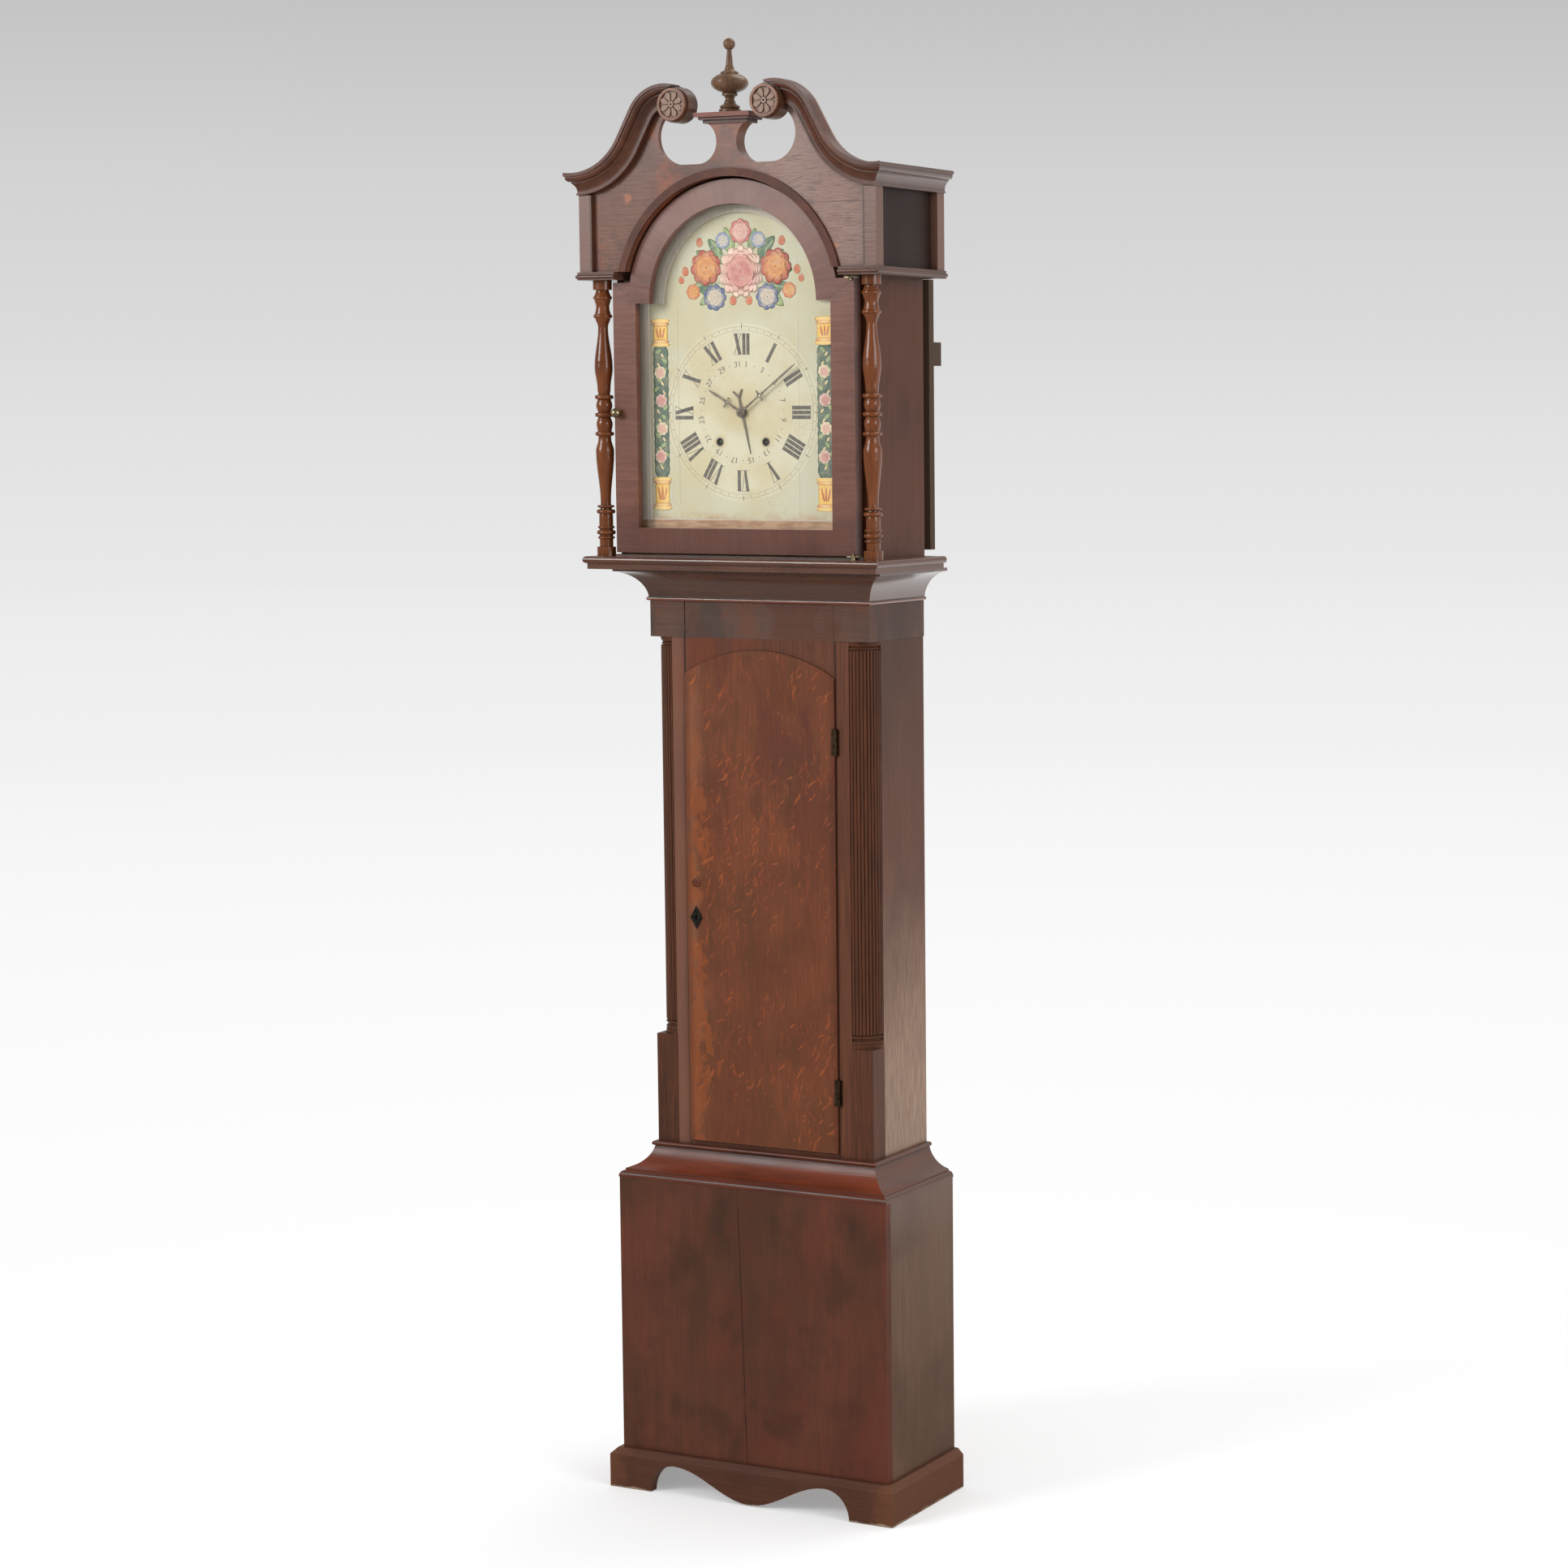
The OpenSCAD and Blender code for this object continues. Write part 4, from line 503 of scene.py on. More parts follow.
def band_mitres(place, colour):
    """Soft bars across the banding that brighten towards the top of the arch as a painted sheen, the bottom
    rail darkened as painted shade, and the slanting joints where the arch meets the shoulders.
    """
    x, _, z = axes(place)
    above = z - arch_height
    bars = patches(place, (9, 9, 9), (1.1, 0, 0.6), (1, 2), 0.35, 0.65, 0.5, 1)
    # painted sheen on the bars, stronger towards the top of the arch
    colour = tinted(colour, ramped(above, 0.02, 0.14, 0, 0.45) * bars, 154, 122, 112)
    # painted shade darkening the bottom rail
    colour = tinted(colour, ramped(z, 1.52, 1.56, 0.45, 0), 84, 48, 40)
    turn = step("ARCTAN2", x, above)
    in_arch = above > 0
    for angle in (-0.98, -0.06, 0.86):
        colour = tinted(colour, near_line(turn, angle, 0.004) * in_arch * 0.4, 60, 34, 30)
    run = abs(x) - shoulder_corner[0]
    mitre = near_line(z - shoulder_corner[1] - run * 0.72, 0, 0.0008) * (run > 0)
    return tinted(colour, mitre * 0.6, 48, 26, 24)


def frieze_patches(place, colour):
    """Broad soft patches in the frieze veneer, blue-grey, brown and orange, between upright seams."""
    brown = patches(place, (15, 15, 7), (8, 3, 0), (1, 3, 0.55), 0.46, 0.58)
    colour = tinted(colour, brown * 0.6, 92, 50, 34)
    warm = patches(place, (17, 17, 16), (4, 1, 0), (1, 4, 0.6), 0.52, 0.62)
    colour = tinted(colour, warm * 0.35, 120, 62, 38)
    grey = patches(place, (13, 13, 6), (0.3, 0, 0), (1, 4, 0.6), 0.48, 0.56)
    colour = tinted(colour, grey * 0.62, 72, 60, 55)
    return upright_seams(place, 0, colour)


def cove_bead(place, colour):
    """The rubbed orange bead along the foot of the cove moulding."""
    bead = ramped(axes(place)[2], cove_bead_head, cove_bead_head + 0.0008, 0.75, 0)
    return tinted(colour, bead, 140, 70, 44)


def board_seams(place, colour):
    """Upright joints between the boards of the back, knots and a grey bloom. The boards are darker where they
    stand out beside the movement, partly their own stain and partly painted shade."""
    x, _, z = axes(place)
    bloom = ramped(cloudy(place, 4, 4), 0.42, 0.66)
    colour = tinted(colour, bloom * 0.4, 128, 108, 84)
    knot = put(place.tree, "TexVoronoi", {"Vector": moved(place, (4.4, 0, 2.3)), "Scale": 1})
    colour = tinted(colour, ramped(knot, 0.045, 0.085, 1, 0) * 0.75, 72, 44, 26)
    seam = step("MAXIMUM", near_line(x, -0.052, 0.0008), near_line(x, 0.071, 0.0008))
    colour = tinted(colour, seam, 38, 27, 19)
    # darker ears beside the movement: partly stain, partly painted shade
    edge = abs(x) + cloudy(place, 30, 3) * 0.03
    return tinted(colour, ramped(edge, 0.178, 0.215, 0, 0.9) * (z > hood_foot), 74, 58, 46)


def reed_rub(place, colour):
    """Where the reeds are rubbed the wood shows orange in thin upright streaks."""
    streak = patches(place, (520, 520, 16), None, (1, 2, 0.6), 0.54, 0.68)
    return tinted(colour, streak * 0.5, 120, 62, 34)


def pale_shoulder(place, colour):
    """An olive shade high on the trunk's side, and low down and at its front corner a pale, dusty band that
    is partly wear and dust and partly a painted sheen.
    """
    z = axes(place)[2]
    high = ramped(z + cloudy(place, 6, 3) * 0.3, 1.10, 1.45, 0, 0.55)
    colour = tinted(colour, high, 76, 50, 36)
    # low pale band: dust and wear, and a painted sheen
    low = ramped(z + cloudy(place, 7, 3) * 0.25, 0.74, 1.16, 0.85, 0) * (z > moulding_head)
    fine = patches(place, (300, 300, 22), None, (1, 3, 0.6), 0.35, 0.7, 0.55, 1)
    return tinted(colour, low * fine, 176, 148, 126)


def side_bloom(place, colour):
    """Paler grey towards the top round the mitre on the window side, on the base moulding and the boards just
    under it.
    The moulding's hollow is orange in front, partly rubbed and partly a painted highlight, with a line of
    painted shade above and below."""
    x, y, z = axes(place)
    side = ramped(x + y, base_mitre - 0.0005, base_mitre + 0.0010)
    streak = patches(place, (7, 7, 90), None, (1, 3), 0.36, 0.62, 0.15, 0.6)
    # orange band in the cove: partly rubbed wood, partly a painted highlight
    colour = tinted(colour, near_line(z, 0.522, 0.014) * (streak * (1 - side)), 132, 60, 34)
    # painted shade lines where the cove meets the members above and below
    for height in (moulding_head - 0.0405, moulding_head - 0.0025):
        colour = tinted(colour, near_line(z, height, 0.0024) * 0.5, 48, 26, 19)
    bloom = side * ramped(z + cloudy(place, 9, 3) * 0.06, 0.44, 0.53, 0, 0.42)
    return tinted(colour, bloom, 118, 101, 90)


def frame_posts(place, colour):
    """Corner posts of the frieze in paler wood, each between two dark upright joints."""
    x, _, z = axes(place)
    colour = tinted(colour, (z > frieze_foot) * (abs(x) > frieze_seam) * 0.55, 136, 100, 86)
    joint = near_line(abs(x), frieze_seam + 0.0007, 0.0010) * (z > frieze_foot)
    return tinted(colour, joint * 0.8, 34, 20, 16)


def worn_feet(place, colour):
    """Orange wear at the ends of the feet and pale chips along the very bottom."""
    x, _, z = axes(place)
    rough = cloudy(place, 36, 4, 0.65)
    colour = tinted(colour, ramped(abs(x) + rough * 0.10, 0.255, 0.30) * 0.55, 118, 72, 44)
    return tinted(colour, ramped(z - rough * 0.010, -0.0035, -0.0015, 0.8, 0), 176, 156, 132)


def mask_strip(place, colour):
    """The mask's lower strip is stained orange-brown, in two tones in uneven level streaks."""
    low = ramped(axes(place)[2], mask_strip_head, mask_strip_head + 0.0025, 1, 0)
    tone = patches(place, (30, 1, 220), None, (1, 3), 0.4, 0.62)
    return between(low, colour, between(tone, paint(186, 150, 116), paint(160, 120, 88)))


def petal_shade(place, colour):
    """On the rolls: petals and boss paler than the hollow behind them, which is darkened as painted shade,
    and a warm rubbed rim.
    """
    x, y, z = axes(place)
    inside = ramped(span(abs(x) - roll_side, z - roll_height), 0.0196, 0.0202, 1, 0)
    raised = ramped(y, rosette_front + 0.0018, rosette_front + 0.0028, 1, 0)
    # the recess behind the petals darkened as painted shade
    hollow = between(raised, paint(124, 86, 67), paint(146, 113, 94))
    rim = between(ramped(cloudy(place, 90, 3), 0.4, 0.62), paint(118, 74, 52), paint(146, 98, 70))
    return between((y < rosette_front + 0.0045) * 0.85, colour, between(inside, rim, hollow))


def cap_wood(place, colour):
    """The stepped cap under the finial is the case's own wood, redder along its top member."""
    z = axes(place)[2]
    streak = patches(place, (10, 10, 300), None, (1, 3, 0.6), 0.4, 0.64)
    body = between(streak, paint(66, 35, 26), paint(96, 53, 38))
    foot = ramped(z, cap_top - 0.0085, cap_top - 0.0065)
    return between(z < cap_top, colour, tinted(body, foot, 118, 54, 32))


upright_side = {"stretch": (330, 420, 7), "coat": 0, "shine": 0.25}
level_grain = {"stretch": (9, 9, 360), "seed": (0.7, 2, 0.2)}
moulded_grain = {"stretch": (10, 10, 300), "seed": (2.2, 1.1, 0.9)}
dry = {"shine": 0.3, "coat": 0}

wood("case_front_mahogany", "trunk_front_frame", (70, 38, 26), (102, 60, 40), (116, 66, 42), (146, 86, 58),
     extra=front_seams, **dry)
wood("base_panel_mahogany", "base_front_panel", (72, 41, 29), (100, 55, 37), (112, 57, 38), (136, 78, 54),
     cloud=7, grain=0.3, extra=base_joint, **dry)
wood("case_side_mahogany", "base_boards", (78, 58, 44), (110, 81, 64), (118, 86, 68), (168, 130, 106),
     seed=(1.3, 0.4, 2.2), grain=0.35, gloss=0.36, extra=side_bloom, **upright_side)
wood("trunk_side_mahogany", "trunk_sides", (68, 40, 28), (103, 61, 42), (111, 65, 45), (176, 140, 116),
     seed=(1.3, 0.4, 2.2), grain=0.4, gloss=0.34, extra=pale_shoulder, **upright_side)
wood("hood_side_mahogany", "hood_sides", (62, 34, 23), (92, 51, 33), (98, 54, 34), (140, 92, 68),
     seed=(3.3, 1.4, 0.2), grain=0.35, gloss=0.34, **upright_side)
wood("skirt_mahogany", "bracket_skirt", (60, 35, 25), (88, 52, 37), (94, 54, 37), (136, 84, 56),
     grain=0.3, extra=worn_feet, **level_grain, **dry)
wood("hood_shelf_mahogany", "hood_base", (70, 41, 28), (100, 60, 41), (108, 66, 45), (158, 108, 78),
     grain=0.3, gloss=0.26, coat=0.5, shine=0.6, reach=0.002, **level_grain)
wood("frieze_frame_mahogany", "hood_frieze_frame", (66, 42, 32), (94, 60, 46), (102, 66, 50), (150, 102, 78),
     grain=0.3, gloss=0.3, coat=0.2, shine=0.5, extra=frame_posts, **level_grain)
wood("frieze_veneer", "trunk_frieze", (70, 50, 42), (100, 72, 60), (104, 72, 58), (136, 94, 72),
     grain=0.25, extra=frieze_patches, **level_grain, **dry)
moulding_wood = wood("moulding_mahogany", "base_moulding", (58, 29, 19), (92, 44, 27), (114, 52, 31),
                     (142, 76, 48), grain=0.35, gloss=0.34, shine=0.4, reach=0.0016, extra=side_bloom,
                     **moulded_grain)
wood("cove_mahogany", "trunk_cove_moulding", (66, 38, 24), (94, 55, 35), (104, 61, 38), (150, 96, 66),
     grain=0.3, gloss=0.22, coat=0.9, shine=1, reach=0.0016, extra=cove_bead, **moulded_grain)
wood("cornice_mahogany", "hood_cornices", (58, 32, 22), (84, 46, 31), (98, 55, 36), (160, 112, 84),
     grain=0.35, gloss=0.24, coat=0.6, shine=0.8, **moulded_grain)
wood("scroll_mahogany", "swan_neck_mouldings", (60, 35, 26), (90, 54, 39), (108, 62, 42), (146, 88, 60),
     stretch=(40, 30, 60), seed=(0.2, 1.9, 3.3), grain=0.35, gloss=0.34, coat=0, shine=0.4, reach=0.0016)
wood("arch_band_mahogany", "arch_band", (60, 34, 25), (86, 48, 34), (112, 58, 38), (160, 92, 58),
     stretch=(60, 60, 60), seed=(0.9, 0.9, 3.3), grain=0.4, reach=0.0016, **dry)
wood("turned_column_wood", "hood_columns", (82, 40, 20), (120, 64, 30), (132, 74, 36), (170, 106, 64),
     stretch=(210, 210, 8), seed=(3, 0.3, 1.4), grain=0.4, gloss=0.2, coat=0.25, shine=0.5, reach=0.0014)
wood("reeded_column_wood", "quarter_columns", (58, 34, 23), (90, 52, 32), (100, 56, 33), (130, 74, 46),
     stretch=(420, 420, 10), seed=(1, 3, 0.3), reach=0.0010, extra=reed_rub, **dry)
wood("trunk_door_oak", "trunk_door", (90, 48, 29), (121, 66, 39), (127, 68, 38), (156, 96, 62),
     stretch=(420, 300, 16), seed=(4.1, 0, 0.6), cloud=5, grain=0.4, extra=oak_rays, **dry)
wood("hood_door_banding", "hood_door", (80, 46, 37), (116, 74, 61), (126, 78, 62), (154, 106, 88),
     stretch=(130, 130, 12), seed=(0.6, 0, 1.2), cloud=9, grain=0.3, gloss=0.3, shine=0.5, coat=0.15,
     banded=True, extra=band_mitres)
wood("scroll_board_veneer", "tympanum", (82, 50, 38), (111, 70, 53), (126, 81, 60), (164, 114, 90),
     stretch=(30, 60, 240), seed=(2.5, 0.4, 0.9), cloud=10, grain=0.2, gloss=0.34, shine=0.45, coat=0.1,
     extra=mottled_veneer)
wood("side_panel_wood", "side_frieze_panels", (40, 29, 25), (54, 39, 34), (56, 40, 34), (78, 54, 44),
     stretch=(9, 9, 300), grain=0.3, gloss=0.4, coat=0, shine=0.2)
wood("dial_mask_wood", "dial_mask", (178, 166, 150), (204, 194, 178), (196, 184, 166), (210, 196, 176),
     stretch=(260, 260, 12), gloss=0.6, coat=0, extra=mask_strip, grime_and_shade=0.25)
wood("old_pine", "backboard hood_top_board", (92, 64, 42), (126, 94, 64), (134, 100, 66), (156, 124, 88),
     stretch=(150, 150, 5), cloud=3, gloss=0.7, spread=0.15, coat=0, extra=board_seams)
wood("inner_oak", "seat_board", (92, 62, 38), (128, 92, 58), (120, 86, 54), (156, 120, 84),
     stretch=(8, 200, 200), gloss=0.65, coat=0)
wood("bronzed_finial", "finial", (80, 56, 40), (120, 88, 64), (130, 97, 70), (168, 136, 106),
     stretch=(160, 160, 30), seed=(0, 1, 5), cloud=30, gloss=0.34, coat=0.1, reach=0.0016,
     extra=cap_wood)
wood("rosette_wood", "rosettes", (66, 40, 30), (96, 60, 44), (108, 70, 50), (150, 116, 94),
     stretch=(180, 60, 180), cloud=40, gloss=0.34, coat=0.15, reach=0.0016, extra=petal_shade,
     grime_and_shade=0.3)


def metal(name, parts, clean, dull, gloss=0.3, metallic=1, patch=40, share=0.7, steel_ahead=None):
    """Metal with darkened patches and fine scratches. Ahead of the depth steel_ahead it is dark steel."""
    finish, shader, place = new_finish(name, paint(*clean))
    dark, scratch = placed(tarnish, Position=place, Scale=patch)
    edge = placed(edge_wear_and_highlight, Position=place, Reach=0.0008)[0]
    cover = step("MULTIPLY", dark, share - edge * 0.5, clamp=True)
    colour = between(cover, paint(*clean), paint(*dull))
    if steel_ahead is not None:
        colour = tinted(colour, axes(place)[1] < steel_ahead, 70, 64, 58)
    give(shader, "Base Color", colour)
    give(shader, "Roughness", dark * 0.2 + (gloss - 0.05 + scratch * 0.1))
    give(shader, "Metallic", metallic)
    bumped(shader, scratch * 0.3 + dark, 0.00006)
    dress(finish, parts)


metal("movement_brass", "movement_frame back_cock going_great_wheel strike_great_wheel hour_wheel "
      "minute_wheel third_wheel escape_wheel going_pulley strike_pulley", (196, 160, 92), (132, 98, 54), 0.28)
metal("barrel_brass", "going_barrel strike_barrel", (190, 154, 90), (128, 96, 54), steel_ahead=-0.030)
metal("centre_arbor_brass", "centre_wheel", (190, 154, 90), (128, 96, 54), steel_ahead=dial_face)
metal("fitting_brass", "hood_door_fittings door_pivots", (204, 188, 150), (134, 114, 84), patch=120)
metal("dark_hinge_brass", "trunk_hinges trunk_door_leaves", (104, 84, 62), (62, 46, 36), 0.5,
      patch=150, share=0.9)
metal("black_escutcheon_iron", "escutcheon door_lock", (74, 72, 68), (34, 31, 29), 0.42, patch=300, share=0.9)
metal("bell_bronze", "bell", (176, 152, 104), (104, 88, 60), 0.26, patch=25)
metal("arbor_steel", "anchor pendulum_rod hammer lock_bolt", (142, 141, 142), (104, 100, 97), 0.34, patch=90,
      share=0.4)
metal("pewter_hands", "minute_hand hour_hand calendar_hand", (122, 112, 96), (82, 73, 62), 0.5, metallic=0.35,
      patch=200)
metal("cast_weight_iron", "going_weight strike_weight", (82, 77, 74), (66, 55, 48), 0.6, metallic=0.5,
      patch=35, share=0.8)
metal("pendulum_bob_brass", "pendulum_bob", (168, 138, 84), (104, 82, 56), 0.35, patch=30)


def dial_ground():
    """Cream oil ground: a paler disc for the hours, yellowed arch, fine cracks and dirt at the edges."""
    finish, shader, place = new_finish("dial_cream_ground", paint(208, 201, 168))
    x, _, z = axes(place)
    away = span(x, z - hands_height)
    disc = ramped(away + cloudy(place, 90) * 0.003, 0.1335, 0.1375, 1, 0)
    age = ramped(cloudy(place, 16, 4), 0.36, 0.68)
    ground = between(age, paint(195, 191, 165), paint(191, 182, 147))
    pale = between(age, paint(205, 199, 172), paint(197, 184, 147))
    colour = between(disc, ground, pale)
    hole = span(abs(x) - winding_side, z - winding_height)
    grime_and_shade = step("MAXIMUM", ramped(hole, 0.006, 0.016, 0.5, 0), ramped(away, 0.006, 0.04, 0.45, 0))
    colour = tinted(colour, grime_and_shade, 186, 166, 118)
    colour = tinted(colour, ramped(hole, 0.0058, 0.0078, 0.95, 0), 58, 46, 34)
    foot = ramped(z, 1.532, 1.548, 0.6, 0) * ramped(cloudy(place, 40), 0.36, 0.64)
    colour = tinted(colour, foot, 172, 116, 70)
    cells = moved(swayed(place, 60, (0.006, 0, 0.006), place), (130, 0, 75))
    craze = put(place.tree, "TexVoronoi", {"Vector": cells, "Scale": 1}, feature="DISTANCE_TO_EDGE")
    craze = ramped(craze, 0.01, 0.05, 1, 0) * ramped(cloudy(place, 11), 0.46, 0.7)
    bent = x + (cloudy(place, 30) - 0.5) * 0.002
    split = step("MAXIMUM", near_line(bent, -0.1125, 0.0004), near_line(bent, 0.0985, 0.00035))
    split = split * ramped(cloudy(place, 12), 0.4, 0.5)
    colour = tinted(colour, craze * 0.28, 150, 132, 92)
    colour = tinted(colour, split * 0.6, 110, 92, 62)
    speck = polished(shader, place, colour, 0.5, 0.15)
    bumped(shader, speck - (craze + split), 0.00008)
    return finish


def ink():
    """Grey-black lining paint, thin in places."""
    finish, shader, place = new_finish("numeral_ink", paint(70, 66, 60))
    thin = ramped(cloudy(place, 260, 3, 0.7), 0.4, 0.66)
    speck = polished(shader, place, between(thin, paint(78, 72, 64), paint(110, 102, 88)), 0.5, 0.1)
    bumped(shader, speck, 0.00004)
    return finish


def brushwork():
    """Oil colours: each dab carries its own colour, with bristle streaks and faded patches over it."""
    finish, shader, place = new_finish("brushed_oil_colours", paint(190, 120, 100))
    own = put(place.tree, "Attribute", take="Color", attribute_name="dab_colour")
    bristle = cloudy(place, 900, 2, 0.7)
    fade = ramped(cloudy(place, 70, 3), 0.4, 0.72)
    colour = tinted(own, ramped(bristle, 0.5, 0.7) * 0.22, 240, 228, 200)
    speck = polished(shader, place, tinted(colour, fade * 0.25, 224, 208, 166), 0.48, 0.12)
    bumped(shader, bristle + speck, 0.00005)
    return finish


def window_glass():
    """Old thin glass, faintly uneven. Shadow rays pass it, so that it doesn't darken the dial."""
    finish, shader, place = new_finish("old_window_glass", (0.9, 0.92, 0.9, 0.2))
    give(shader, "Transmission Weight", 1)
    give(shader, "IOR", 1.45)
    give(shader, "Metallic", 0)
    ripple = cloudy(place, 9, 2)
    give(shader, "Base Color", between(ripple, (0.97, 0.985, 0.975, 1), (1, 1, 1, 1)))
    give(shader, "Roughness", ramped(cloudy(place, 50, 4), 0.3, 0.8, 0, 0.03))
    bumped(shader, ripple, 0.0006, 0.5)
    shadow = put(place.tree, "LightPath", take="Is Shadow Ray")
    clear = put(place.tree, "BsdfTransparent")
    end_with(shader_mix(shadow, Wire(shader.outputs[0]), clear))
    return finish


def twisted_gut():
    """Honey-coloured gut, darkened as painted shade in the groove between its strands."""
    finish, shader, place = new_finish("twisted_gut", paint(196, 168, 112))
    groove = put(place.tree, "Attribute", take="Fac", attribute_name="strand")
    age = cloudy(place, 120, 3)
    colour = between(age, paint(204, 176, 120), paint(160, 126, 78))
    # painted shade in the groove between the strands
    give(shader, "Base Color", tinted(colour, groove * 0.6, 96, 70, 42))
    give(shader, "Roughness", ramped(age, 0.3, 0.7, 0.4, 0.6))
    return finish


numeral_ink = ink()
oil_colours = brushwork()
gut = twisted_gut()
dress(dial_ground(), "dial")
dress(window_glass(), "hood_door_glass")


# Mesh helpers

def linked(name, data):
    """A new object in the scene."""
    piece = bpy.data.objects.new(name, data)
    bpy.context.scene.collection.objects.link(piece)
    return piece


def surface(name, points, faces, finish, body, slot, smooth=False, **layers):
    """Puts points and faces into one object at the origin and lets it ride on a body. Each layer holds a
    number or a colour for every point."""
    mesh = bpy.data.meshes.new(name)
    mesh.from_pydata(points, [], faces)
    for label, values in layers.items():
        values = np.asarray(values, np.float32)
        kind, key = ("FLOAT", "value") if values.ndim == 1 else ("FLOAT_COLOR", "color")
        mesh.attributes.new(label, kind, "POINT").data.foreach_set(key, values.ravel())
    mesh.polygons.foreach_set("use_smooth", np.full(len(mesh.polygons), smooth))
    mesh.materials.append(finish)
    mesh.update()
    piece = linked(name, mesh)
    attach(piece, body)
    return piece


def joined(parts):
    """Several (points, faces) as one, with the faces' numbers moved along."""
    points, faces, start = [], [], 0
    for p, f in parts:
        points.append(p)
        faces += (f + start).tolist()
        start += len(p)
    return np.concatenate(points), faces


def circle(count):
    """Angles evenly round a circle."""
    return np.arange(count) * 2 * np.pi / count


def closed_rings(around, rings):
    """Faces of a first point, some rings of points and a last point: the fans at the two ends, and the
    four-sided bands between the rings."""
    k = np.arange(around)
    n = (k + 1) % around
    end = 1 + rings * around
    i = 1 + around * np.arange(rings - 1)[:, None]
    first = np.stack([0 * k, 1 + n, 1 + k], 1)
    last = np.stack([0 * k + end, end - around + k, end - around + n], 1)
    bands = np.stack([i + k, i + n, i + around + n, i + around + k], -1).reshape(-1, 4)
    return np.concatenate([first, last]), bands


def low_lens(around, rings):
    """The same body in triangles alone."""
    fans, bands = closed_rings(around, rings)
    return np.concatenate([fans, bands[:, [0, 1, 2]], bands[:, [0, 2, 3]]])


ink_height = 0.00012
ink_root = 0.00002


def strokes(ends_a, ends_b, width_a, width_b):
    """Flat bars on the dial, one for each row: from a to b in X and Z, widths a and b, each a closed box
    whose four corners are the end plus or minus half its width square to the run."""
    a, b = np.asarray(ends_a, float), np.asarray(ends_b, float)
    run = (b - a) / np.linalg.norm(b - a, axis=1, keepdims=True)
    square = np.stack([-run[:, 1], run[:, 0]], 1)
    wa, wb = (np.broadcast_to(width, len(a))[:, None] / 2 for width in (width_a, width_b))
    corners = np.stack([a - square * wa, b - square * wb, b + square * wb, a + square * wa], 1)
    points = np.empty((len(a), 2, 4, 3))
    points[..., 0] = corners[:, None, :, 0]
    points[..., 2] = corners[:, None, :, 1]
    points[..., 1] = np.array([dial_face + ink_root, dial_face - ink_height])[None, :, None]
    box = np.array([[3, 2, 1, 0], [4, 5, 6, 7], [0, 1, 5, 4], [1, 2, 6, 5], [2, 3, 7, 6], [3, 0, 4, 7]])
    faces = box[None] + 8 * np.arange(len(a))[:, None, None]
    return points.reshape(-1, 3), faces.reshape(-1, 4)


def flat_ring(radius, width, count=180):
    """A circle drawn round the hands: a four-sided section carried round, closed on itself."""
    turn = circle(count)[:, None]
    reach = radius + width / 2 * np.array([-1, 1, 1, -1])
    depth = dial_face + np.array([ink_root, ink_root, -ink_height, -ink_height])
    points = np.stack([reach * np.sin(turn), depth + 0 * turn, hands_height + reach * np.cos(turn)], 2)
    i, k = np.meshgrid(np.arange(count), np.arange(4), indexing="ij")
    j, m = (i + 1) % count, (k + 1) % 4
    faces = np.stack([4 * i + k, 4 * j + k, 4 * j + m, 4 * i + m], -1)
    return points.reshape(-1, 3), faces.reshape(-1, 4)


def round_hands(x, y, turn):
    """Where a point that stands at x, y above the hands' middle comes to when it is turned round it."""
    return x * np.cos(turn) + y * np.sin(turn), hands_height + y * np.cos(turn) - x * np.sin(turn)


def numeral_strokes(word, turn):
    """Strokes of one Roman numeral standing on the ring: I is an upright, V two slopes that meet at the
    foot, X two that cross, with thin lines along head and foot. Its middle is turned round the hands."""
    foot, head = 0.0872, 0.1186
    thick, thin, serif = 0.0056, 0.0009, 0.00054
    widths = {"I": 0.0071, "V": 0.0142, "X": 0.0148}
    half = sum(widths[letter] for letter in word) / 2
    left = -half
    rows = []
    for letter in word:
        right = left + widths[letter]
        middle = (left + right) / 2
        if letter == "I":
            rows.append((middle, foot, middle, head, thick, thick))
        elif letter == "V":
            rows.append((left + 0.0028, head, middle, foot, thick, thick * 0.6))
            rows.append((right - 0.0012, head, middle, foot, thin, thin))
        else:
            rows.append((left + 0.0036, head, right - 0.0036, foot, thick, thick))
            rows.append((right - 0.0016, head, left + 0.0016, foot, thin, thin))
        left = right
    for height in (head, foot):
        rows.append((-half - 0.0002, height, half + 0.0002, height, serif, serif))
    x0, y0, x1, y1, width_a, width_b = np.array(rows).T
    start = np.stack(round_hands(x0, y0, turn), 1)
    end = np.stack(round_hands(x1, y1, turn), 1)
    return strokes(start, end, width_a, width_b)


def written_number(day):
    """A small day number standing with its foot to the middle: plain type made a mesh, its doubled points
    merged, then turned to its place round the hands."""
    line = bpy.data.curves.new("day", "FONT")
    line.body = str(day)
    line.size = 0.0125
    line.align_x = "CENTER"
    line.align_y = "CENTER"
    line.extrude = (ink_height + ink_root) / 2
    line.resolution_u = 2
    holder = linked("day", line)
    bpy.context.view_layer.update()
    shape = bpy.data.meshes.new_from_object(holder.evaluated_get(bpy.context.evaluated_depsgraph_get()))
    work = bmesh.new()
    work.from_mesh(shape)
    bmesh.ops.remove_doubles(work, verts=work.verts, dist=0.000002)
    bmesh.ops.triangulate(work, faces=work.faces)
    bmesh.ops.recalc_face_normals(work, faces=work.faces)
    local = np.array([v.co for v in work.verts])
    faces = np.array([[v.index for v in f.verts] for f in work.faces])
    work.free()
    bpy.data.objects.remove(holder)
    x, z = round_hands(local[:, 0], local[:, 1] + 0.0725, 2 * np.pi * (day - 0.5) / 31)
    return np.stack([x, dial_face - ink_height / 2 - local[:, 2], z], 1), faces


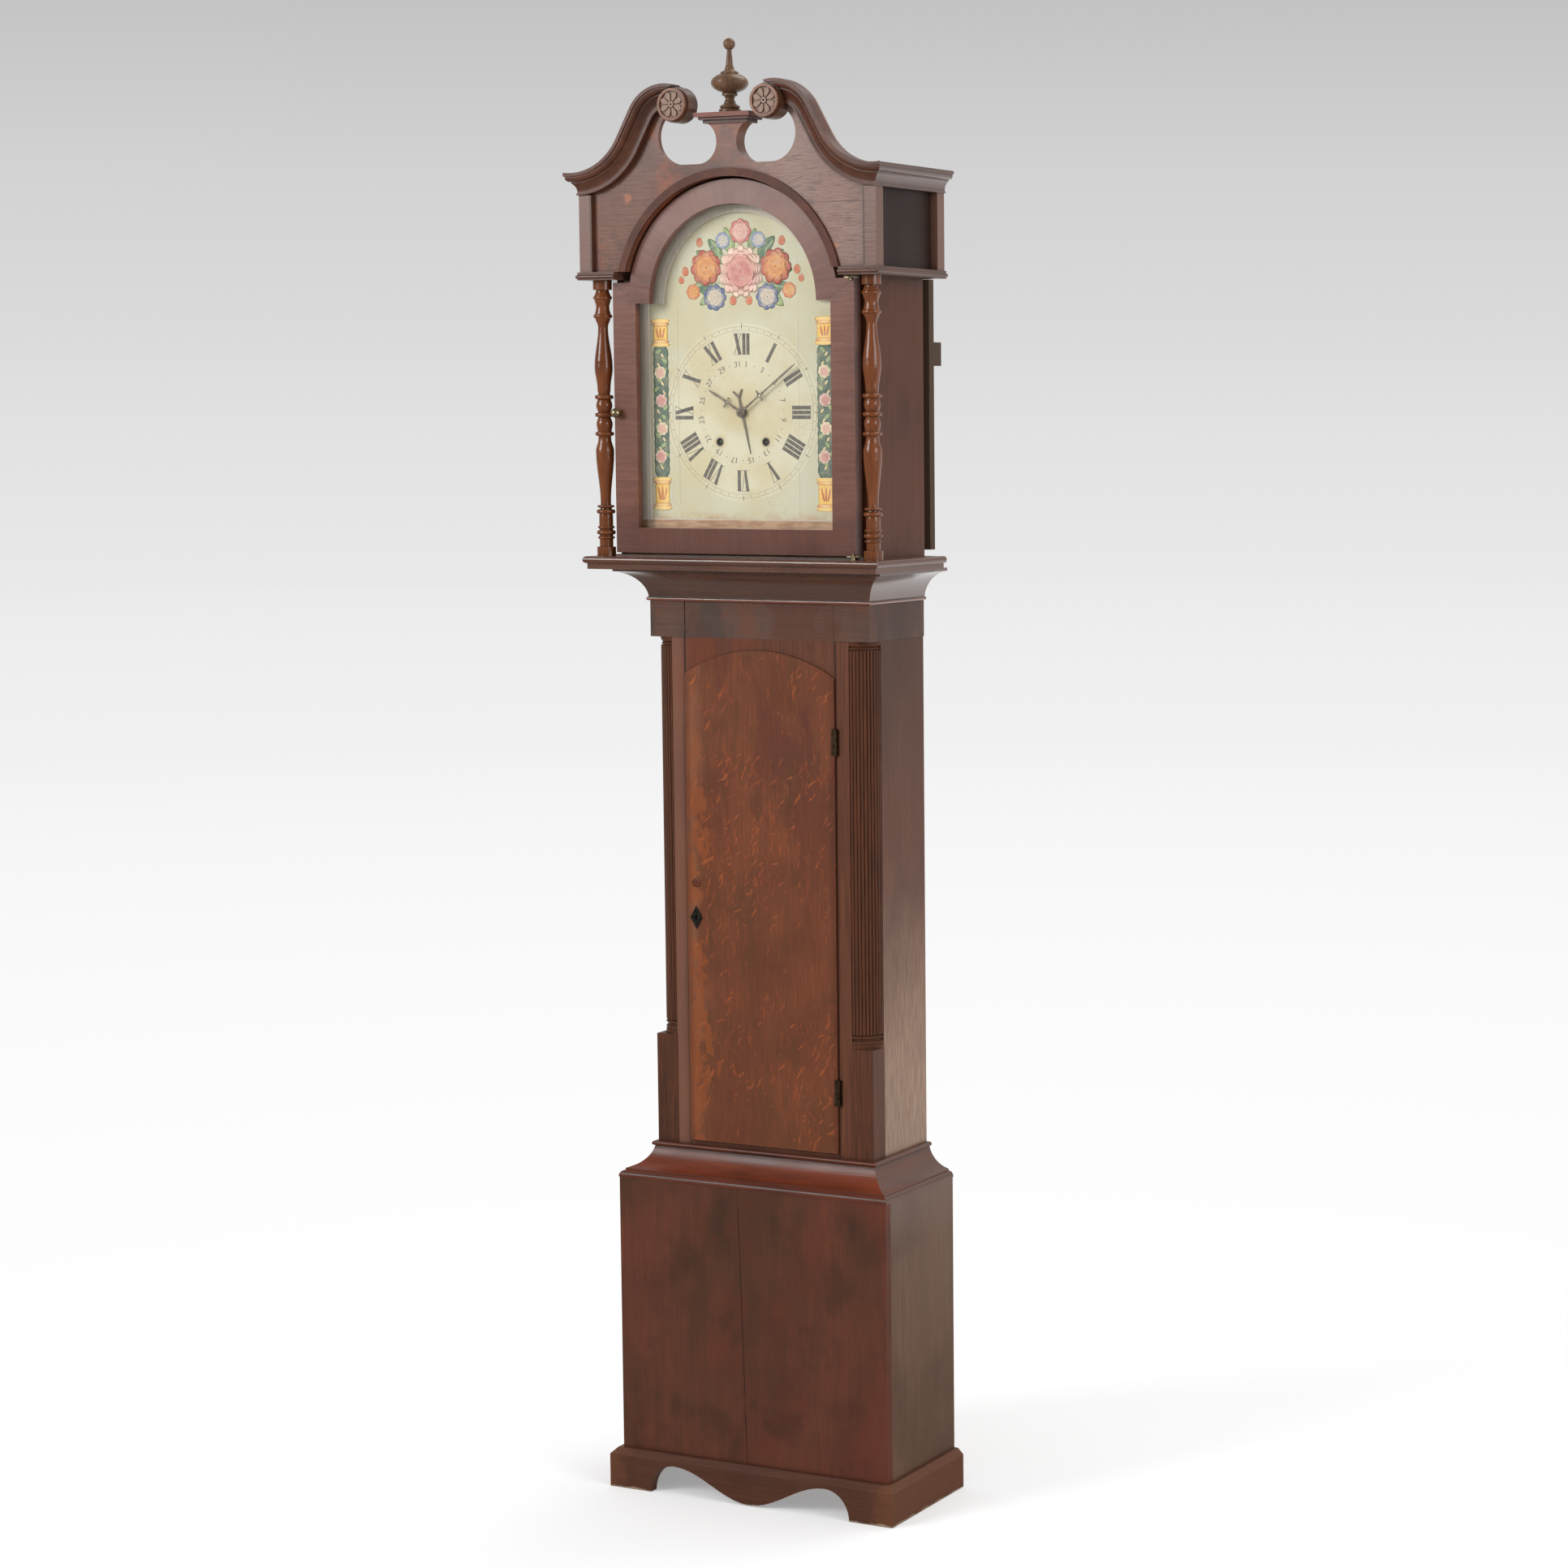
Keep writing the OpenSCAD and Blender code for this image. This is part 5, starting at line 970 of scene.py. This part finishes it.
def dial_figures():
    """Hour numerals, minute circles with their dots and ticks, and the ring of day numbers, every other one
    a dot."""
    parts = []
    for hour, word in enumerate("XII I II III IIII V VI VII VIII IX X XI".split()):
        parts.append(numeral_strokes(word, hour * np.pi / 6))
    parts += [flat_ring(0.1292, 0.00038), flat_ring(0.1232, 0.00032)]
    minutes = circle(60)
    five = np.arange(60) % 5 == 0
    even_days = 2 * np.pi * (np.arange(2, 31, 2) - 0.5) / 31
    for turn, low, high, width in ((minutes[five], 0.1255, 0.1335, 0.0010),
                                   (minutes[~five], 0.1255, 0.1270, 0.0013),
                                   (even_days, 0.0718, 0.0732, 0.0014)):
        ends = [np.stack(round_hands(0, reach, turn), 1) for reach in (low, high)]
        parts.append(strokes(*ends, width, width))
    parts += [written_number(day) for day in range(1, 32, 2)]
    surface("dial_figures", *joined(parts), numeral_ink, "case", "dial_paint")


def dabs(rows):
    """Brush dabs as low closed lenses. A point of a dab is width*v*cos(u)*(1 - taper*v*sin(u)) across and
    length*v*sin(u) along, turned and set at x, z; its height is lift*(1 - v*v) over its layer, and its colour
    runs from the inner to the outer."""
    count, around = len(rows), 14
    measures = np.array([row[:8] for row in rows], float)
    x, z, width, length, turn, taper, lift, layer = (column[:, None, None] for column in measures.T)
    inner, outer = (np.array([row[i] for row in rows])[:, None] for i in (8, 9))
    u = circle(around)
    v = np.array([0.45, 0.8, 1])[:, None]
    across = width * v * np.cos(u) * (1 - taper * v * np.sin(u))
    along = length * v * np.sin(u)
    height = layer + lift * (1 - v ** 2) + 0 * along
    rings = np.stack([x + across * np.cos(turn) + along * np.sin(turn), dial_face - height,
                      z + along * np.cos(turn) - across * np.sin(turn)], -1).reshape(count, -1, 3)
    top = np.stack([x, dial_face - layer - lift, z], -1)[:, 0]
    low = np.stack([x, dial_face + ink_root + 0 * x, z], -1)[:, 0]
    points = np.concatenate([top, rings, low], 1)
    share = np.concatenate([[0], np.repeat(v, around), [1]])[None, :, None] ** 1.4
    faces = low_lens(around, 3)[None] + points.shape[1] * np.arange(count)[:, None, None]
    return points.reshape(-1, 3), faces.reshape(-1, 3), (inner * (1 - share) + outer * share).reshape(-1, 4)


def dab(x, z, width, length, inner, outer, layer, turn=0, taper=0, lift=0.00003):
    """One dab: half its width and length, its two colours, how high it lies and how it is turned."""
    return [x, z, width, length, turn, taper, lift, layer, inner, outer]


def whorl(x, z, size, rings, inner, outer, layer, phase=0):
    """A many-petalled flower: each ring of petals lies over the one outside it, half a petal turned."""
    rows = []
    for i, count in enumerate(rings):
        part = 1 - i / len(rings)
        reach = size * (0.34 + 0.42 * part)
        width = size * 0.9 / count * (1.9 + 0.7 * part)
        tone = np.array(outer) * part + np.array(inner) * (1 - part)
        deep = tone * np.array([0.72, 0.6, 0.6, 1])
        for t in phase + (np.arange(count) + 0.5 * (i % 2)) * 2 * np.pi / count:
            rows.append(dab(x + reach * 0.55 * np.sin(t), z + reach * 0.55 * np.cos(t), width, reach * 0.52,
                            deep, tone, layer + 0.000016 * i, t, -0.25, 0.00004))
    return rows


greens = [(paint(70, 106, 72), paint(116, 146, 96)), (paint(50, 86, 66), paint(88, 122, 84)),
          (paint(112, 140, 84), paint(150, 170, 110))]


def leaf(x, z, long, turn, layer, shade):
    """A leaf in two dabs: the blade and a paler stroke along one side of its rib."""
    dark, pale = greens[shade]
    side = 0.22 * 0.35 * long
    return [dab(x, z, long * 0.30, long * 0.62, dark, pale, layer, turn, 0.35, 0.00004),
            dab(x + side * np.cos(turn), z - side * np.sin(turn), long * 0.07, long * 0.46, pale,
                paint(178, 190, 132), layer + 0.00002, turn, 0.3)]


red, rust, pink = paint(178, 60, 46), paint(206, 116, 58), paint(224, 152, 144)
rose, amber, blush = paint(200, 108, 108), paint(232, 168, 84), paint(236, 204, 188)
blue, sky, straw, cream = paint(66, 88, 140), paint(134, 152, 186), paint(234, 186, 84), paint(240, 228, 192)


def arch_flowers():
    """Garden flowers over a fan of leaves."""
    rows = []
    for i, t in enumerate(np.radians([-124, -104, -82, -60, -40, -18, 18, 40, 60, 82, 104, 124])):
        rows += leaf(0.071 * np.sin(t), 1.899 + 0.058 * np.cos(t), 0.027 + 0.005 * (i % 2),
                     t + 0.25 * np.sin(3.1 * i), 0.00002, i % 3)
        rows.append(dab(0.046 * np.sin(t), 1.899 + 0.042 * np.cos(t), 0.0010, 0.024, paint(84, 112, 70),
                        paint(120, 146, 92), 0.00002, t))
    for i, t in enumerate(np.radians([-112, -70, -44, 44, 70, 112])):
        rows += leaf(0.058 * np.sin(t), 1.893 + 0.050 * np.cos(t), 0.026, t + 0.5 * (-1) ** i, 0.00004,
                     (i + 1) % 3)
    rows += whorl(0.000, 1.906, 0.050, [13, 11, 9, 7, 5], rose, blush, 0.00007)
    for side in (-1, 1):
        rows += whorl(side * 0.061, 1.913, 0.034, [9, 8, 7, 5], amber, red, 0.00008, 0.3 - 0.1 * side)
        rows += whorl(side * 0.046, 1.868, 0.025, [9, 7, 5], cream, blue, 0.00009, 0.35 + 0.15 * side)
        rows += whorl(side * 0.084, 1.877, 0.015, [7, 5], straw, rust, 0.00008, 0.2)
        rows += whorl(side * 0.031, 1.953, 0.016, [7, 5], cream, sky, 0.00009, 0.4)
        for x, z, size in ((0.098, 1.908, 0.006), (0.105, 1.895, 0.005), (0.072, 1.951, 0.006),
                           (0.014, 1.863, 0.006)):
            rows.append(dab(side * x, z, size, size * 1.2, red, rust, 0.00005, 0, 0.1, 0.00005))
    return rows + whorl(0.000, 1.966, 0.024, [8, 6, 4], blush, rose, 0.00009)


def side_panel(side):
    """An upright green panel with a wandering vine between a cap and a foot."""
    x = side * 0.1440
    rows = [dab(x, z, 0.0140, 0.0150, paint(52, 82, 68), paint(58, 88, 72), 0.00002, lift=0.00002)
            for z in np.linspace(1.609, 1.784, 14)]
    for block in (np.linspace(1.804, 1.828, 5), np.linspace(1.556, 1.588, 6)):
        rows += [dab(x, z, 0.0138, 0.0066, straw, straw, 0.00004, lift=0.00002) for z in block]
        low, high = block[0], block[-1]
        for lip, reach, tone in ((low - 0.0060, 0.0176, straw), (low - 0.0012, 0.0160, rust),
                                 (high + 0.0012, 0.0160, rust), (high + 0.0060, 0.0176, straw)):
            rows.append(dab(x, lip, reach, 0.0034, paint(238, 204, 132), tone, 0.00007))
        for lean in (-0.5, 0, 0.5):
            rows.append(dab(x + 0.011 * lean, (low + high) / 2, 0.0016, (high - low) / 3, rust, red, 0.00006,
                            0.5 * lean, 0.2))
    for i, z in enumerate(np.linspace(1.614, 1.784, 13)):
        lean = 0.0056 * np.sin(i * 1.35)
        rows += leaf(x + lean * 1.4, z + 0.004, 0.0092, side * (0.9 if i % 2 else -0.9), 0.00007, 2)
        if i % 3 == 1:
            bloom = i // 3 % 2
            rows += whorl(x - lean * 0.3, z, 0.0128, [8, 6, 4], (rose, pink)[bloom], (blush, cream)[bloom],
                          0.00012, 0.3 * i)
        else:
            rows.append(dab(x - lean, z - 0.002, 0.0016, 0.0038, straw, cream, 0.00008, 0.6 * side,
                            lift=0.00004))
    return rows


def dial_painting():
    """The painter's work in the arch and at the sides. All of it is plain pattern."""
    points, faces, colours = dabs(arch_flowers() + side_panel(-1) + side_panel(1))
    surface("dial_painting", points, faces.tolist(), oil_colours, "case", "dial_paint", True,
            dab_colour=colours)


def gut_run(name, node, body, path):
    """A stretch of two-strand gut along points in X and Z. The section at angle a has the radius
    gut_radius*(1 + 0.13*cos(2*(a - twist))). The twist grows with the length, so two bulges wind round it."""
    around, pitch = 10, 0.012
    steps = np.concatenate([[0], np.cumsum(np.linalg.norm(np.diff(path, axis=0), axis=1))])
    s = np.linspace(0, steps[-1], max(24, int(steps[-1] / 0.0011)))
    x, z = (np.interp(s, steps, column) for column in path.T)
    tx, tz = np.gradient(x), np.gradient(z)
    size = np.hypot(tx, tz)
    t = circle(around)
    bulge = np.cos(2 * (t - s[:, None] * 2 * np.pi / pitch))
    radius = gut_radius * (1 + 0.13 * bulge)
    out = radius * np.cos(t)
    points = np.stack([x[:, None] - out * (tz / size)[:, None], line_depth + radius * np.sin(t),
                       z[:, None] + out * (tx / size)[:, None]], -1).reshape(-1, 3)
    i, k = np.meshgrid(np.arange(len(s) - 1) * around, np.arange(around), indexing="ij")
    m = (k + 1) % around
    faces = np.stack([i + k, i + m, i + around + m, i + around + k], -1).reshape(-1, 4).tolist()
    faces += [list(range(around))[::-1], list(range(len(points) - around, len(points)))]
    piece = surface(name, points, faces, gut, body, "gut", True, strand=np.clip(-bulge, 0, 1).ravel())
    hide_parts(node)
    return piece


def gut_knot(name, node, x, seat):
    """The knot that stops a line on the seat board. A point has the radius
    0.0054*cos(v)*(1 + 0.16*cos(3*u + 5*v)) and the height 0.002*(1 + sin(v)), so its turns climb round it."""
    around, rings = 36, 15
    v, u = np.meshgrid(np.radians(np.linspace(-78, 78, rings)), circle(around), indexing="ij")
    turns = np.cos(3 * u + 5 * v)
    reach = 0.0054 * np.cos(v) * (1 + 0.16 * turns)
    height = seat + 0.002 * (1 + np.sin(v))
    sides = np.stack([x + reach * np.cos(u), line_depth + reach * np.sin(u), height], -1)
    points = np.concatenate([[[x, line_depth, seat]], sides.reshape(-1, 3), [[x, line_depth, seat + 0.004]]])
    fans, bands = closed_rings(around, rings)
    strand = np.concatenate([[0], np.clip(-turns, 0, 1).ravel(), [0]])
    piece = surface(name, points, fans.tolist() + bands.tolist(), gut, "case", "gut", True, strand=strand)
    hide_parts(node)


def gut_line(side, node, weight):
    """One line: its fall from the barrel, the half turn under the pulley, its rise to the seat board and its
    knot. The half turn rides on the weight; fall, rise and knot ride on the case."""
    name = node.replace("cord", "line")
    groove, seat = 0.0199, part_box("seat_board")[1].z
    fall_x = side * winding_side - 0.0229
    rise_x = fall_x + 2 * groove
    for part, x, top in (("fall", fall_x, winding_height), ("rise", rise_x, seat)):
        piece = gut_run(name + "_" + part, node, "case", np.array([[x, top], [x, pulley_height]]))
        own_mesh(piece)
    a = np.linspace(np.pi, 2 * np.pi, 25)
    under = np.stack([fall_x + groove * (1 + np.cos(a)), pulley_height + groove * np.sin(a)], 1)
    gut_run(name + "_under_pulley", node, weight, under)
    gut_knot(name + "_knot", node, rise_x, seat)


def lock_plug():
    """The wood plug above the keyhole: a low heart whose edge is 0.0074*(1 - 0.26*sin(u) + 0.10*cos(2*u))
    from its middle, domed as 1 - v*v*v."""
    middle_x, middle_z, face = -0.1157, 0.9684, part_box("trunk_door")[0].y
    dome, root = 0.0003, 0.0002
    u = circle(40)
    v = np.array([0.4, 0.75, 1])[:, None]
    edge = 0.0074 * (1 - 0.26 * np.sin(u) + 0.10 * np.cos(2 * u))
    rings = np.stack([middle_x + v * edge * np.cos(u), face - dome * (1 - v ** 3) + 0 * u,
                      middle_z + v * edge * np.sin(u)], -1).reshape(-1, 3)
    points = np.concatenate([[[middle_x, face - dome, middle_z]], rings, [[middle_x, face + root, middle_z]]])
    surface("lock_plug", points, low_lens(40, 3).tolist(), moulding_wood, "trunk_door", "mahogany", True)


dial_figures()
dial_painting()
lock_plug()
gut_line(1, "going_cord", "going_weight")
gut_line(-1, "strike_cord", "strike_weight")


# Floor, light and camera

dim_room = 0.22
white = (1, 1, 1, 1)


def tone_ramp(value, stops):
    """Greys as seen on a screen, from stop to stop along a value."""
    ramp = put(value.tree, "ValToRGB", {0: value})
    elements = ramp.socket.node.color_ramp.elements
    for i, (at, tone) in enumerate(stops):
        point = elements[i] if i < 2 else elements.new(at)
        point.position, point.color = at, paint(tone, tone, tone)
    return ramp


def fading_floor():
    """A wide pale floor that keeps the shadow. Seen directly it lightens to white near the clock and turns
    grey far off, as a lit paper sheet does. Gloss sees the same sheet, bright behind the clock and dim
    before it."""
    finish, shader, place = new_finish("pale_floor", (0.9, 0.9, 0.9, 1))
    tree = place.tree
    give(shader, "Roughness", 0.9)
    give(shader, "Specular IOR Level", 0.1)
    give(shader, "Base Color", between(cloudy(place, 2), (0.78, 0.78, 0.78, 1), (0.82, 0.82, 0.82, 1)))
    away = vectors("LENGTH", place, take="Value")
    tones = tone_ramp(away / 32, [(0, 255), (0.06, 254), (0.12, 252), (0.29, 246), (0.41, 241), (1, 234)])
    paper = Wire(shader.outputs[0])
    glow = put(tree, "Emission", {"Color": tones, "Strength": 1})
    lift = put(tree, "Emission", {"Color": white, "Strength": 0.30})
    both = put(tree, "AddShader", {0: paper, 1: lift})
    seen = shader_mix(ramped(away, 0.9, 2.4), both, glow)
    camera = put(tree, "LightPath", take="Is Camera Ray")
    looked = step("MAXIMUM", camera, camera.beside("Is Transmission Ray"))
    behind = ramped(axes(place)[1], 0.4, 2.6, dim_room, 1)
    mirrored = put(tree, "Emission", {"Color": tones, "Strength": behind})
    lit = shader_mix(camera.beside("Is Glossy Ray"), paper, mirrored)
    end_with(shader_mix(looked, lit, seen))
    return finish


def floor_disc():
    """A flat disc under the clock: rings of points r, angle with r growing as a square."""
    around, rings = 96, 23
    turn = circle(around)
    reach = 31 * np.linspace(0, 1, rings + 1)[1:, None] ** 2
    sheet = np.stack([reach * np.cos(turn), reach * np.sin(turn), 0 * reach * turn], -1).reshape(-1, 3)
    fans, bands = closed_rings(around, rings)
    mesh = bpy.data.meshes.new("floor")
    mesh.from_pydata(np.concatenate([[[0, 0, 0]], sheet]), [],
                     fans[:around, ::-1].tolist() + bands[:, ::-1].tolist())
    mesh.materials.append(fading_floor())
    mesh.update()
    disc = linked("floor", mesh)


def studio_world():
    """Soft light from all round. Cameras, glass and gloss see the backdrop, a grey that darkens upwards
    behind the clock, and gloss sees a dim room before it."""
    world = bpy.data.worlds.new("studio")
    bpy.context.scene.world = world
    world.use_nodes = True
    tree = world.node_tree
    tree.nodes.clear()
    _, back, up = axes(put(tree, "TexCoord", take="Generated"))
    rise = put(tree, "MapRange", {"Value": up, "From Min": -0.05, "From Max": 0.20})
    tones = tone_ramp(rise, [(0, 234), (1, 186), (0.19, 226), (0.295, 219), (0.476, 210), (0.65, 196)])
    camera = put(tree, "LightPath", take="Is Camera Ray")
    seen = step("MAXIMUM", camera, camera.beside("Is Transmission Ray"))
    backdrop = put(tree, "Background", {"Color": tones, "Strength": 1})
    room = put(tree, "Background", {"Color": tones, "Strength": ramped(back, -0.3, 0.5, dim_room, 1)})
    soft = put(tree, "Background", {"Color": white, "Strength": 0.60})
    mirrored = shader_mix(camera.beside("Is Glossy Ray"), soft, room)
    give(tree.nodes.new("ShaderNodeOutputWorld"), 0, shader_mix(seen, mirrored, backdrop))


def softbox(name, place, aim, size, power):
    """A square soft lamp aimed at a point."""
    lamp = bpy.data.lights.new(name, "AREA")
    lamp.size = size
    lamp.energy = power
    holder = linked(name, lamp)
    holder.location = place
    holder.rotation_euler = (Vector(aim) - Vector(place)).to_track_quat("-Z", "Y").to_euler()


def photograph_camera():
    """The photograph's own view: 25.7 degrees round to the clock's right and 6.1 degrees downwards."""
    picture, focal, centre_x, centre_y = 1932, 4327.3, 1331.26, 979.45
    data = bpy.data.cameras.new("camera")
    data.sensor_width = 36
    data.lens = data.sensor_width * focal / picture
    data.shift_x = (picture / 2 - centre_x) / picture
    data.shift_y = (centre_y - picture / 2) / picture
    data.clip_start = 0.1
    data.clip_end = 120
    camera = linked("camera", data)
    camera.location = (2.77365, -4.68285, 1.68252)
    look = Euler((math.radians(90 - 6.093), 0, math.radians(25.6596))).to_matrix()
    roll = Euler((0, 0, math.radians(-0.128))).to_matrix()
    camera.rotation_euler = (look @ roll).to_euler()
    bpy.context.scene.camera = camera


floor_disc()
studio_world()
softbox("window_left", (-2.9, -4.4, 3.6), (0, 0, 1.2), 2.2, 140)
softbox("window_right", (4.4, -1.2, 2.6), (0.1, 0, 1.1), 2.2, 62)
softbox("overhead", (0.6, 1.6, 4.6), (0, 0, 1.6), 2, 40)
photograph_camera()
bpy.context.scene.view_settings.view_transform = "Standard"
